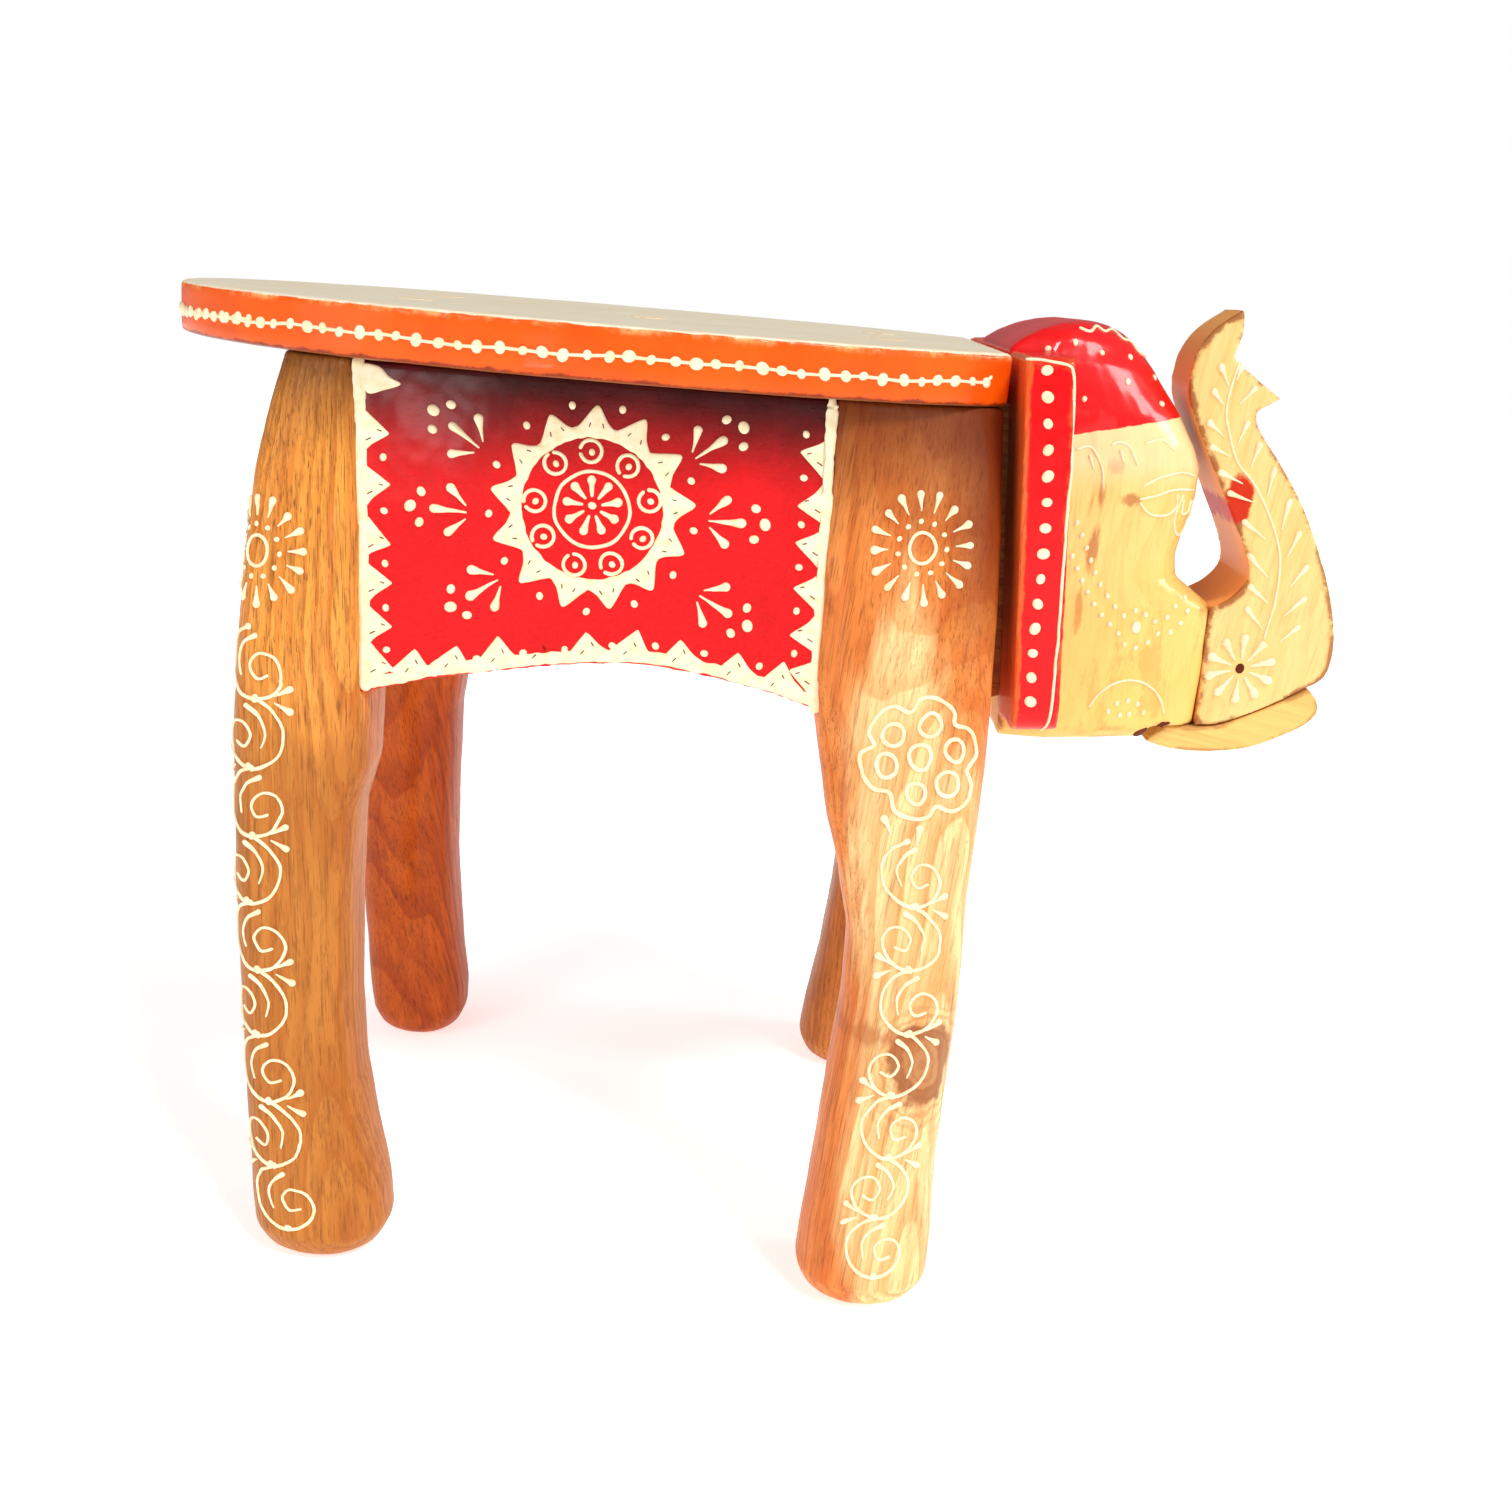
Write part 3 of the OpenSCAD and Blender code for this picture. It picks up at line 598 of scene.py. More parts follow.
def add_pieces(materials):
    pieces = {}
    for node, (finish, slot, voxel, smoothing, depth) in PIECES.items():
        obj = carve(node, voxel, smoothing, depth)
        obj.data.materials.clear()
        obj.data.materials.append(materials[finish])
        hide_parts(node)
        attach(obj, BODY)
        pieces[node] = obj
    for node, finish in KEPT_NODES.items():
        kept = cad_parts[node]
        if not kept.material_slots:
            kept.data.materials.append(None)
        for slot in kept.material_slots:
            slot.material = materials[finish]
    return pieces


def islands(mesh):
    """The separate closed parts of a mesh, as lists of points."""
    group = list(range(len(mesh.vertices)))

    def root(i):
        while group[i] != i:
            i = group[i]
        return i

    places = {}
    for vertex in mesh.vertices:
        key = tuple(round(c, 6) for c in vertex.co)
        group[vertex.index] = places.setdefault(key, vertex.index)
    for edge in mesh.edges:
        a, b = (root(i) for i in edge.vertices)
        group[max(a, b)] = min(a, b)
    parts = {}
    for vertex in mesh.vertices:
        parts.setdefault(root(vertex.index), []).append(vertex.co.copy())
    return list(parts.values())


PLUG_LAP = 0.9
PLUG_RISE = 0.05
PLUG_SIDES = 40
# Share of the radius and height above the seat, mm
PLUG_PROFILE = [(1.0, -1.2), (1.0, -0.12), (0.985, -0.03), (0.95, 0.0), (0.5, 0.0)]


def add_plugs(material):
    """The face-grain plugs over the seat screws, sanded flush with the seat's top."""
    vertices, faces = [], []
    for part in islands(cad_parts["seat_plugs"].data):
        low = [min(p[i] for p in part) for i in range(3)]
        high = [max(p[i] for p in part) for i in range(3)]
        radius = (high[0] - low[0]) / 2 + PLUG_LAP * MM
        rows = []
        for share, drop in PLUG_PROFILE:
            row = []
            for k in range(PLUG_SIDES):
                turn = math.tau * k / PLUG_SIDES
                row.append(len(vertices))
                vertices.append(((low[0] + high[0]) / 2 + radius * share * math.cos(turn),
                                 (low[1] + high[1]) / 2 + radius * share * math.sin(turn),
                                 high[2] + (drop + PLUG_RISE) * MM))
            rows.append(row)
        for a, b in zip(rows, rows[1:]):
            faces += zip(a, a[1:] + a[:1], b[1:] + b[:1], b)
        faces += [tuple(rows[-1]), tuple(rows[0][::-1])]
    mesh = bpy.data.meshes.new("seat_plugs_wood")
    mesh.from_pydata(vertices, [], faces)
    mesh.materials.append(material)
    plugs = link(bpy.data.objects.new("seat_plugs_wood", mesh))
    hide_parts("seat_plugs")
    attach(plugs, BODY)


# ---- Surfaces that patterns are drawn on ----

# Where rays start, in metres from the middle
FAR = 0.5


class Side:
    """The outer side of a piece, drawn on by (x, z) as seen from the right."""

    def __init__(self, piece, side):
        self.flip = -1 if side == "left" else 1
        self.vertices = [(v.co.x, v.co.y * self.flip, v.co.z) for v in piece.data.vertices]
        polygons = [list(p.vertices) for p in piece.data.polygons]
        self.tree = BVHTree.FromPolygons(self.vertices, polygons)

    def hit(self, start, direction):
        place, normal, _, _ = self.tree.ray_cast(start, direction)
        if place is None:
            return None, None
        return place, (-normal if normal.dot(direction) > 0 else normal)

    def cast(self, u, v):
        return self.hit(Vector((u * MM, -FAR, v * MM)), Vector((0, 1, 0)))

    def at(self, u, v, reach=0.9):
        """The point and the smoothed normal at (u, v), or None."""
        place, normal = self.cast(u, v)
        if place is None:
            return None
        around = [self.cast(u + a * reach, v + b * reach)[0] for a, b in ((1, 0), (-1, 0), (0, 1), (0, -1))]
        if all(p is not None and (p - place).length < 3 * reach * MM for p in around):
            smooth = (around[0] - around[1]).cross(around[2] - around[3])
            if smooth.length > 0:
                smooth.normalize()
                normal = smooth if smooth.dot(normal) > 0 else -smooth
        return place, normal


class Wrap(Side):
    """The rounded outside of a piece, drawn on by (distance round it, height). 0 is where it faces right."""

    STEP = 4

    def __init__(self, piece, side, middle=None):
        super().__init__(piece, side)
        self.middle = middle
        self.levels = {}
        self.rings = {}
        if middle is None:
            for x, y, z in self.vertices:
                self.levels.setdefault(round(z / MM), []).append((x, y))

    def centre(self, v):
        if self.middle is not None:
            return self.middle
        near = [p for level in range(round(v) - 2, round(v) + 3) for p in self.levels.get(level, [])]
        low = [min(p[i] for p in near) for i in (0, 1)]
        high = [max(p[i] for p in near) for i in (0, 1)]
        return ((low[0] + high[0]) / 2, (low[1] + high[1]) / 2)

    def outward(self, degrees):
        angle = math.radians(degrees - 90)
        return Vector((math.cos(angle), math.sin(angle), 0))

    def ring(self, level):
        """Distances round the piece at each angle step, from the rear to the front."""
        if level in self.rings:
            return self.rings[level]
        x, y = self.centre(level)
        middle = Vector((x, y, level * MM))
        angles = list(range(-160, 161, self.STEP))
        points = [self.hit(middle + self.outward(a) * FAR, -self.outward(a))[0] or middle for a in angles]
        run = [0.0]
        for a, b in zip(points, points[1:]):
            run.append(run[-1] + (b - a).length / MM)
        zero = run[angles.index(0)]
        self.rings[level] = (x, y, angles, [r - zero for r in run])
        return self.rings[level]

    def cast(self, u, v):
        x, y, angles, run = self.ring(round(v))
        i = 0
        while i < len(run) - 2 and run[i + 1] < u:
            i += 1
        share = (u - run[i]) / max(run[i + 1] - run[i], 1e-6)
        direction = self.outward(angles[i] + share * self.STEP)
        return self.hit(Vector((x, y, v * MM)) + direction * FAR, -direction)


# ---- Raised paint ----

CROSS_SECTION = [(-1.0, -0.35), (-0.96, 0.3), (-0.72, 0.72), (-0.36, 0.94), (0.0, 1.0),
                 (0.36, 0.94), (0.72, 0.72), (0.96, 0.3), (1.0, -0.35)]
CAP_ANGLES = (25, 50, 72, 86)
CAP_FALL = 0.6
DOT_SIDES = 12
RING_POINTS = 16
LINE_STEP = 0.8
# How deep the paint's underside lies in the wood, mm
SKIN = 0.2
# How much a line's width varies, and the frequencies of its width, its shake and a dot's shape
UNEVEN = 0.2
UNEVEN_PITCH = 420
DOT_PITCH = 900
SHAKE_PITCH = 0.16
SHAKE_SHIFT = Vector((7.3, 1.9, 4.1))


def smooth_path(points, closed=False):
    """A Catmull-Rom curve through 2-D points, at even steps."""
    if len(points) == 2:
        points = [points[0], tuple((a + b) / 2 for a, b in zip(*points)), points[1]]
    count = len(points)
    path = []
    for i in range(count if closed else count - 1):
        p = [points[j % count] if closed else points[min(max(j, 0), count - 1)] for j in range(i - 1, i + 3)]
        parts = max(1, round(math.dist(p[1], p[2]) / LINE_STEP))
        for k in range(parts):
            t = k / parts
            weights = (-0.5 * t + t * t - 0.5 * t ** 3, 1 - 2.5 * t * t + 1.5 * t ** 3,
                       0.5 * t + 2 * t * t - 1.5 * t ** 3, -0.5 * t * t + 0.5 * t ** 3)
            path.append(tuple(sum(w * q[n] for w, q in zip(weights, p)) for n in (0, 1)))
    if not closed:
        path.append(tuple(points[-1]))
    return path


def shaken(path, amount):
    """The slight shake of a hand-drawn line."""
    spots = [(u, v, Vector((u, v, 0)) * SHAKE_PITCH) for u, v in path]
    return [(u + amount * noise.noise(p), v + amount * noise.noise(p + SHAKE_SHIFT)) for u, v, p in spots]


def blend_list(values, t):
    """The value at share t along a list of evenly spread values."""
    place = t * (len(values) - 1)
    i = min(int(place), len(values) - 2)
    return values[i] + (values[i + 1] - values[i]) * (place - i)


class Relief:
    """Raised paint laid on a surface: lines, drops, dots and filled shapes."""

    def __init__(self, surface, lift=0.0):
        self.surface = surface
        self.lift = lift
        self.vertices, self.faces, self.rims = [], [], []

    def add(self, place, normal, height, rim):
        point = place + normal * ((height + self.lift) * MM)
        self.vertices.append((point.x, point.y * self.surface.flip, point.z))
        self.rims.append(rim)
        return len(self.vertices) - 1

    def skin(self, rows, closed=False):
        """Quads between rings of vertex numbers."""
        following = rows[1:] + rows[:1] if closed else rows[1:]
        for a, b in zip(rows, following):
            self.faces += zip(a, b, b[1:] + b[:1], a[1:] + a[:1])

    def line(self, points, width=0.9, height=None, widths=None, closed=False, shake=0.25):
        """A rounded ribbon through the points. `widths` varies the width evenly along it."""
        path = shaken(smooth_path(points, closed), shake)
        spots = [(p, self.surface.at(*p)) for p in path]
        spots = [(p, s) for p, s in spots if s is not None]
        if len(spots) < 2:
            return
        places = [s[0] for _, s in spots]
        normals = [s[1] for _, s in spots]
        count = len(places)
        rings = []
        for i in range(count):
            before = places[i - 1] if closed or i > 0 else places[i]
            after = places[(i + 1) % count] if closed or i < count - 1 else places[i]
            along = after - before
            along = along.normalized() if along.length > 0 else Vector((1, 0, 0))
            wide = blend_list(widths, i / (count - 1)) if widths else width
            wide *= 1 + UNEVEN * noise.noise(places[i] * UNEVEN_PITCH)
            tall = height if height is not None else 0.26 + 0.3 * wide
            rings.append((places[i], normals[i], along, wide / 2, tall))
        if not closed:
            rings = self.capped(rings[0], -1)[::-1] + rings + self.capped(rings[-1], 1)
        rows = []
        for place, normal, along, half, tall in rings:
            across = normal.cross(along).normalized() * (half * MM)
            rows.append([self.add(place + across * a, normal, h * tall if h > 0 else -SKIN, 1.0 - max(h, 0))
                         for a, h in CROSS_SECTION])
        self.skin(rows, closed)
        if not closed:
            self.faces += [tuple(rows[0]), tuple(rows[-1])]

    @staticmethod
    def capped(ring, sign):
        place, normal, along, half, tall = ring
        rounds = []
        for angle in CAP_ANGLES:
            turn = math.radians(angle)
            left = math.cos(turn)
            reach = along * (sign * half * math.sin(turn) * MM)
            rounds.append((place + reach, normal, along, half * left, tall * left ** CAP_FALL))
        return rounds

    def dot(self, u, v, radius, height=None):
        spot = self.surface.at(u, v)
        if spot is None:
            return
        place, normal = spot
        tall = height if height is not None else 0.3 + 0.32 * radius
        across = normal.cross(Vector((0.13, 0.21, 1))).normalized()
        upward = normal.cross(across)
        wobble = noise.noise(place * DOT_PITCH)
        rows = []
        profile = [(1.0, -SKIN), (0.97, 0.3 * tall), (0.78, 0.7 * tall), (0.42, 0.94 * tall), (0.05, tall)]
        for share, rise in profile:
            row = []
            for k in range(DOT_SIDES):
                turn = math.tau * k / DOT_SIDES
                reach = radius * share * MM * (1 + 0.09 * math.sin(2 * turn + 9 * wobble))
                offset = (across * math.cos(turn) + upward * math.sin(turn)) * reach
                row.append(self.add(place + offset, normal, rise, max(0.0, 1 - rise / tall)))
            rows.append(row)
        self.skin(rows)
        self.faces += [tuple(rows[0]), tuple(rows[-1])]

    def drop(self, head, tail, radius=1.3, tip=0.35):
        """A brush-pulled drop: round at the head, drawn out to the tail."""
        widths = [2 * radius, 1.7 * radius, 1.1 * radius, 1.3 * tip + 0.5 * radius, 2 * tip, 1.6 * tip]
        self.line([head, tail], widths=widths)

    def ring(self, u, v, radius, width=0.9, squash=1.0, shake=0.35, height=None):
        turns = [math.tau * k / RING_POINTS for k in range(RING_POINTS)]
        spots = [(u + radius * squash * math.cos(a), v + radius * math.sin(a)) for a in turns]
        self.line(spots, width, height, closed=True, shake=shake)

    def arc(self, u, v, radius, first, last, width=0.9):
        count = max(3, round(abs(last - first) / 20))
        turns = [math.radians(first + (last - first) * k / count) for k in range(count + 1)]
        self.line([(u + radius * math.cos(a), v + radius * math.sin(a)) for a in turns], width)

    def pad(self, outline, height=0.5):
        """A filled, pillow-edged shape. The outline must be seen whole from its middle."""
        path = smooth_path(outline, closed=True)
        middle = tuple(sum(p[i] for p in path) / len(path) for i in (0, 1))
        rows = []
        profile = [(0.0, -SKIN), (0.05, 0.35 * height), (0.3, 0.75 * height), (0.8, height), (1.6, height)]
        for inset, rise in profile:
            row = []
            for p in path:
                away = math.dist(p, middle)
                share = max(0.0, 1 - inset / away) if away > 0 else 0.0
                q = tuple(m + (a - m) * share for a, m in zip(p, middle))
                spot = self.surface.at(*q)
                if spot is None:
                    return
                row.append(self.add(*spot, rise, max(0.0, 1 - rise / height)))
            rows.append(row)
        self.skin(rows)
        spot = self.surface.at(*middle)
        if spot is None:
            return
        for row, rise in ((rows[0], -SKIN), (rows[-1], height)):
            centre = self.add(*spot, rise, 0.0)
            self.faces += [(a, b, centre) for a, b in zip(row, row[1:] + row[:1])]

    def build(self, name, material, slot="cream_paint"):
        mesh = bpy.data.meshes.new(name)
        mesh.from_pydata(self.vertices, [], self.faces)
        rim = mesh.attributes.new("rim", "FLOAT", "POINT")
        rim.data.foreach_set("value", self.rims)
        mesh.materials.append(material)
        obj = link(bpy.data.objects.new(name, mesh))
        turn_outwards(mesh)
        mesh.shade_smooth()
        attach(obj, BODY)


def turn_outwards(mesh):
    work = bmesh.new()
    work.from_mesh(mesh)
    bmesh.ops.recalc_face_normals(work, faces=work.faces)
    work.to_mesh(mesh)
    work.free()


def polar(u, v, radius, degrees):
    turn = math.radians(degrees)
    return (u + radius * math.cos(turn), v + radius * math.sin(turn))


# ---- Blanket pattern ----

MEDALLION = (-51.3, 251)
RAY_COUNT = 13
PETAL_COUNT = 9
# Hub and direction of each spray of three drops and three dots
SPRAYS = [((-85, 247), 178), ((-82.5, 264.5), 145), ((-75.5, 229.5), 214),
          ((-20, 250.5), 1), ((-24.5, 266.5), 37), ((-20.5, 229.5), -28)]
BORDER_TOP = 288.3
REAR_BORDER = ((-121.0, BORDER_TOP), (-117.3, 192))
FRONT_BORDER = ((16.6, BORDER_TOP), (19.7, 197))
BORDER_WIDTH = 3.8
REAR_TEETH = [268.2, 252.5, 236.8, 223.4, 210.5, 198.7]
FRONT_TEETH = [284.6, 272, 258.3, 245.6, 232.4, 219.4, 206.4]
CORNER_BLOB = [(-120.5, 287), (-115, 287.2), (-112, 284.6), (-108.5, 282.6), (-113, 280.6), (-118.5, 279.5)]
MARK_WIDTH = 0.35
MARK_LIFT = 0.36
LOWER_TEETH = [-102.5, -90.5, -76.5, -64, -49.7, -36.7, -21.9, -5, 8.5]


def between(line, z):
    """x on a two-point line at height z."""
    (x0, z0), (x1, z1) = line
    return x0 + (x1 - x0) * (z - z0) / (z1 - z0)


def tooth_outline(base, tip, half_base, half_tip=0.9):
    """A blunt triangle, in order round its edge."""
    along = Vector(tip) - Vector(base)
    across = Vector((-along.y, along.x)).normalized()
    spots = [(0, -half_base), (0.4, -half_base * 0.5 - half_tip * 0.3), (0.9, -half_tip), (1.0, 0),
             (0.9, half_tip), (0.4, half_base * 0.62 + half_tip * 0.3), (0, half_base), (0, 0)]
    return [tuple(Vector(base) + along * a + across * b) for a, b in spots]


def lower_edge(surface, x):
    """Height of the blanket's lower edge at x, by feeling for it from below."""
    z = 180.0
    while z < 230 and surface.cast(x, z)[0] is None:
        z += 0.5
    return z


def side_teeth(relief, marks, line, heights, sign, spacing):
    for i, z in enumerate(heights):
        base = (between(line, z), z)
        tip = (base[0] + sign * (8.6 + 0.8 * math.sin(3.1 * i)), z + 1.2 * math.sin(2.3 * i))
        relief.pad(tooth_outline(base, tip, spacing / 2 - 0.1))
        relief.dot(base[0] + sign * 7.0, z - spacing / 2, 1.1)
        marks.line([(base[0] + sign * 2.0, z - 2.4), (base[0] + sign * 3.4, z - 1.6)], MARK_WIDTH)
        marks.line([(base[0] + sign * 5.4, z + 0.9), (base[0] + sign * 6.4, z + 0.6)], MARK_WIDTH)


def blanket_border(relief, marks, surface):
    half = BORDER_WIDTH / 2
    for line in (REAR_BORDER, FRONT_BORDER):
        relief.line([line[0], line[1]], BORDER_WIDTH, height=0.55)
    xs = [REAR_BORDER[1][0] + 2 + i * 7.5 for i in range(19)]
    xs = [x for x in xs if x < FRONT_BORDER[1][0]] + [FRONT_BORDER[1][0]]
    relief.line([(x, lower_edge(surface, x) + half + 0.6) for x in xs], BORDER_WIDTH, height=0.55)
    side_teeth(relief, marks, REAR_BORDER, REAR_TEETH, 1, 14)
    side_teeth(relief, marks, FRONT_BORDER, FRONT_TEETH, -1, 13)
    relief.pad(CORNER_BLOB)
    for i, x in enumerate(LOWER_TEETH):
        z = lower_edge(surface, x) + 2.2
        tip = (x + 1.4 * math.sin(2.7 * i), z + 7.8 + 0.6 * math.sin(4.1 * i))
        relief.pad(tooth_outline((x, z), tip, 7.1))
        relief.dot(x + 6.8, z + 3.9, 1.15)
        marks.line([(x - 2.6, z + 0.6), (x - 1.8, z + 1.6)], MARK_WIDTH)
        marks.line([(x + 1.0, z + 3.4), (x + 0.4, z + 4.4)], MARK_WIDTH)


def medallion(relief, marks):
    u, v = MEDALLION
    relief.ring(u, v, 22.6, 3.6, height=0.5)
    for k in range(RAY_COUNT):
        angle = 90 + 360 * k / RAY_COUNT
        jog = 0.7 * math.sin(5.3 * k)
        relief.pad(tooth_outline(polar(u, v, 22.4, angle), polar(u, v, 30.4 + jog, angle + jog), 6.0, 1.1))
        relief.dot(*polar(u, v, 30.6, angle + 180 / RAY_COUNT), 1.15)
        for side in (-5, 5):
            marks.line([polar(u, v, 24.2, angle + side), polar(u, v, 25.2, angle + side * 0.8)], MARK_WIDTH)
    relief.ring(u, v, 11.2, 1.1)
    relief.dot(u, v + 1.2, 1.2)
    for k in range(PETAL_COUNT):
        angle = 94 - 360 * k / PETAL_COUNT
        relief.drop(polar(u, v + 1, 7.6, angle), polar(u, v + 1, 3.2, angle), 1.35, 0.55)
        eye = polar(u, v, 17 + 0.3 * math.sin(4 * k), angle + 2 * math.sin(3 * k))
        opening = 200 + 70 * math.sin(2.2 * k)
        relief.arc(*eye, 3.2, opening, opening + 325, 1.15)
        relief.dot(eye[0] + 0.3, eye[1] - 0.2, 1.0)


def spray(relief, hub, direction):
    u, v = hub
    for spread, near, far in ((-38, 4.2, 10.6), (0, 3.4, 13), (38, 4.2, 10.6)):
        tail = polar(u, v, near, direction + spread * 0.8)
        relief.drop(polar(u, v, far, direction + spread), tail, 1.4, 0.35)
    for spread, reach, radius in ((-15, 17.6, 1.4), (0, 20, 1.8), (15, 17.6, 1.4)):
        relief.dot(*polar(u, v, reach, direction + spread), radius)


def blanket_pattern(pieces, side, materials):
    surface = Side(pieces["blanket_block_" + side], side)
    relief, marks = Relief(surface), Relief(surface, MARK_LIFT)
    blanket_border(relief, marks, surface)
    medallion(relief, marks)
    for hub, direction in SPRAYS:
        spray(relief, hub, direction)
    relief.build("blanket_pattern_" + side, materials["cream"])
    marks.build("blanket_marks_" + side, materials["marks"], "red_painted_wood")


# ---- Seat rim, ears and cap ----

SEAT_MIDDLE = (-0.0515, 0.0)
BEAD_LINE_Z = 296.2
BEAD_PITCH = 6.1
RIM_REACH = 300


def rim_pattern(pieces, materials):
    """A beaded line round the seat's rim, from ear to ear behind."""
    for side in SIDES:
        surface = Wrap(pieces["seat_plank"], side, SEAT_MIDDLE)
        _, _, _, run = surface.ring(round(BEAD_LINE_Z))
        first, last = max(run[0], -RIM_REACH), 120.0
        relief = Relief(surface)
        count = int((last - first) / BEAD_PITCH)
        beads = [last - BEAD_PITCH * k for k in range(count)]
        wave = [(u, BEAD_LINE_Z + 0.35 * math.sin(u / 17) + 0.25 * math.sin(u / 5.3)) for u in beads]
        relief.line(wave, 0.95)
        relief.line([(last, BEAD_LINE_Z + 0.3), (last + 1.6, BEAD_LINE_Z + 1.6)], 1.1)
        for k, (u, v) in enumerate(wave):
            radius = 1.65 + 0.3 * math.sin(4.3 * k)
            relief.dot(u + 0.5 * math.sin(1.7 * k), v + 0.2 * math.sin(2.9 * k), radius)
        relief.build("rim_beads_" + side, materials["cream"])


EAR_DOTS = [(78.4, 301.6), (82.2, 274), (84, 250), (84.8, 220), (86.8, 196)]
EAR_LINE = [(71.5, 304.2), (79, 304.2), (84.8, 303.4), (86.4, 300.5), (87.4, 293), (88.8, 279), (89.9, 255),
            (91.8, 227), (92.8, 204), (93, 196), (91.6, 191.6)]
EAR_DOT_PITCH = 7.7


def along_path(path, gap):
    """Points at even distances along a path."""
    spots, left = [path[0]], gap
    for a, b in zip(path, path[1:]):
        length = math.dist(a, b)
        while left <= length:
            spots.append(tuple(p + (q - p) * left / length for p, q in zip(a, b)))
            left += gap
        left -= length
    return spots


def ear_pattern(pieces, side, materials):
    relief = Relief(Side(pieces["ear_" + side], side))
    relief.line(EAR_LINE, 0.9)
    for k, (u, v) in enumerate(along_path(smooth_path(EAR_DOTS), EAR_DOT_PITCH)):
        relief.dot(u, v, 1.7 + 0.2 * math.sin(2.1 * k))
    relief.build("ear_pattern_" + side, materials["cream"])


CAP_DOTS = [(84, 306.5), (93.1, 309), (103, 306.4), (114, 305.5), (124, 299.5), (126.4, 291.5),
            (97.8, 292), (113, 298)]
CAP_SCALLOPS = [(94.9, 313.6), (98.7, 312.6), (101.2, 314.2), (104.4, 312.9), (108, 313.6), (111.6, 311),
                (115, 310.2), (117.6, 307.4), (121.4, 305.6)]
CHEEK_ARCS = [[(97, 276.3), (101.5, 277.3), (106.1, 271.3), (108, 264.3)],
              [(109.1, 278.4), (111.5, 279.3), (115.2, 277.9), (118.5, 272.6)],
              [(121, 279), (126.6, 280.6), (131.5, 277.5)]]
CHEEK_DROPS = [((101.9, 274.2), (103.4, 270.6)), ((112.4, 276.2), (113.6, 273))]
BROW = [(122.2, 265.6), (128, 268.5), (135.1, 270.2), (141, 269)]
UPPER_LID = [(121.5, 261.2), (127.2, 262.7), (134.2, 264.6), (141.5, 264.3)]
LOWER_LID = [(121.7, 260), (124.5, 257.2), (128.3, 256), (132.4, 256.4), (135.3, 258.9), (134.8, 262.8)]
TEAR_LOOP = [(137.2, 262.5), (135.3, 254.5), (138.4, 249.1), (142, 253.5), (142.3, 260.5)]
INNER_LOOP = [(137.9, 260.9), (138.3, 256.5), (140.8, 257), (141.2, 260.7)]
GARLAND_UPPER = [(100.2, 253), (105.1, 244.3), (110.2, 234.7), (115.5, 228), (121, 222.9), (126.5, 225.3),
                 (131, 221.3), (137, 222.9), (140, 227.6), (143.7, 229.3)]
GARLAND_LOWER = [(100, 242.2), (106.2, 231.8), (112, 224), (119.3, 217.5), (123.5, 212.6), (129.5, 213),
                 (133, 216.8), (138.5, 217.6), (142.4, 221.6), (145.1, 228.5)]
GARLAND_PITCH = 4.6
GARLAND_KNOT = (125.7, 219.2)
JAW = (126.5, 186.5)
# Painted shade of the mouth's opening: middle line and widths, mm
LIP_HOLE = [(133.2, 181.6), (136.0, 183), (139.4, 184.6), (143.6, 185.6)]
LIP_HOLE_WIDTHS = [3.4, 4.2, 2.8, 1.2]


def head_pattern(pieces, side, materials):
    surface = Side(pieces["head_block"], side)
    relief, hole = Relief(surface), Relief(surface)
    # The mouth's opening: a dark ribbon of painted shade laid on the head, not a hole.
    hole.line(LIP_HOLE, height=0.25, widths=LIP_HOLE_WIDTHS)
    hole.build("lip_hole_shade_" + side, materials["marks"], "pale_yellow_wood")
    for k, (u, v) in enumerate(CAP_DOTS):
        relief.dot(u, v, 1.1 + 0.15 * math.sin(3 * k))
    relief.line(CAP_SCALLOPS, 1.0)
    for path in CHEEK_ARCS:
        relief.line(path, 0.8)
    for head, tail in CHEEK_DROPS:
        relief.drop(head, tail, 0.7, 0.3)
    for path in (BROW, UPPER_LID, LOWER_LID, TEAR_LOOP, INNER_LOOP):
        relief.line(path, 0.8)
    for path in (GARLAND_UPPER, GARLAND_LOWER):
        for u, v in along_path(smooth_path(path), GARLAND_PITCH):
            relief.dot(u, v, 0.95)
    relief.dot(*GARLAND_KNOT, 2.0)
    relief.arc(*JAW, 14.5, 158, 12, 0.8)
    for reach, first, last, count in ((7.4, 150, 25, 5), (3.0, 130, 60, 2)):
        for k in range(count):
            relief.dot(*polar(*JAW, reach, first + (last - first) * k / (count - 1)), 0.9)
    relief.build("head_pattern_" + side, materials["cream"])


# ---- Trunk ----

STEM = [(151.3, 306.3), (149.3, 297.5), (149, 290.3), (151.3, 282.5), (154.8, 274.8), (160.6, 268.8),
        (165.6, 262), (169.5, 255), (172.7, 247.1), (173.8, 239), (173.8, 229), (172.4, 216.9)]
REAR_LEAVES = [((145.4, 304.6), (148.6, 299)), ((144, 296.6), (147.9, 292.6)),
               ((144, 286.6), (149.4, 282.4)), ((146, 278.8), (151.8, 276.2)),
               ((150, 270.8), (157.4, 267.8)), ((153.8, 264.2), (161.5, 262.1)),
               ((159.9, 255.4), (167.3, 250.4)), ((163.3, 244.3), (169.8, 237.8)),
               ((165, 234), (171.4, 229)), ((165.1, 226.4), (171.3, 219.9))]
FRONT_LEAVES = [((152.4, 305.9), (151, 301)), ((157.4, 298.6), (153.2, 293.4)),
                ((156.4, 287.3), (154.2, 281)), ((161.4, 280.6), (159.4, 273.6)),
                ((167.4, 273), (166.2, 264.5)), ((173.7, 263.1), (172.6, 254)),
                ((178.5, 252.9), (175.8, 245)), ((182.6, 241.9), (178.2, 235.4)),
                ((183.6, 231.6), (177.4, 225)), ((183, 221.4), (177.8, 216.2))]
TRUNK_FLOWER = (165.9, 205.8)
TRUNK_PETALS = 10


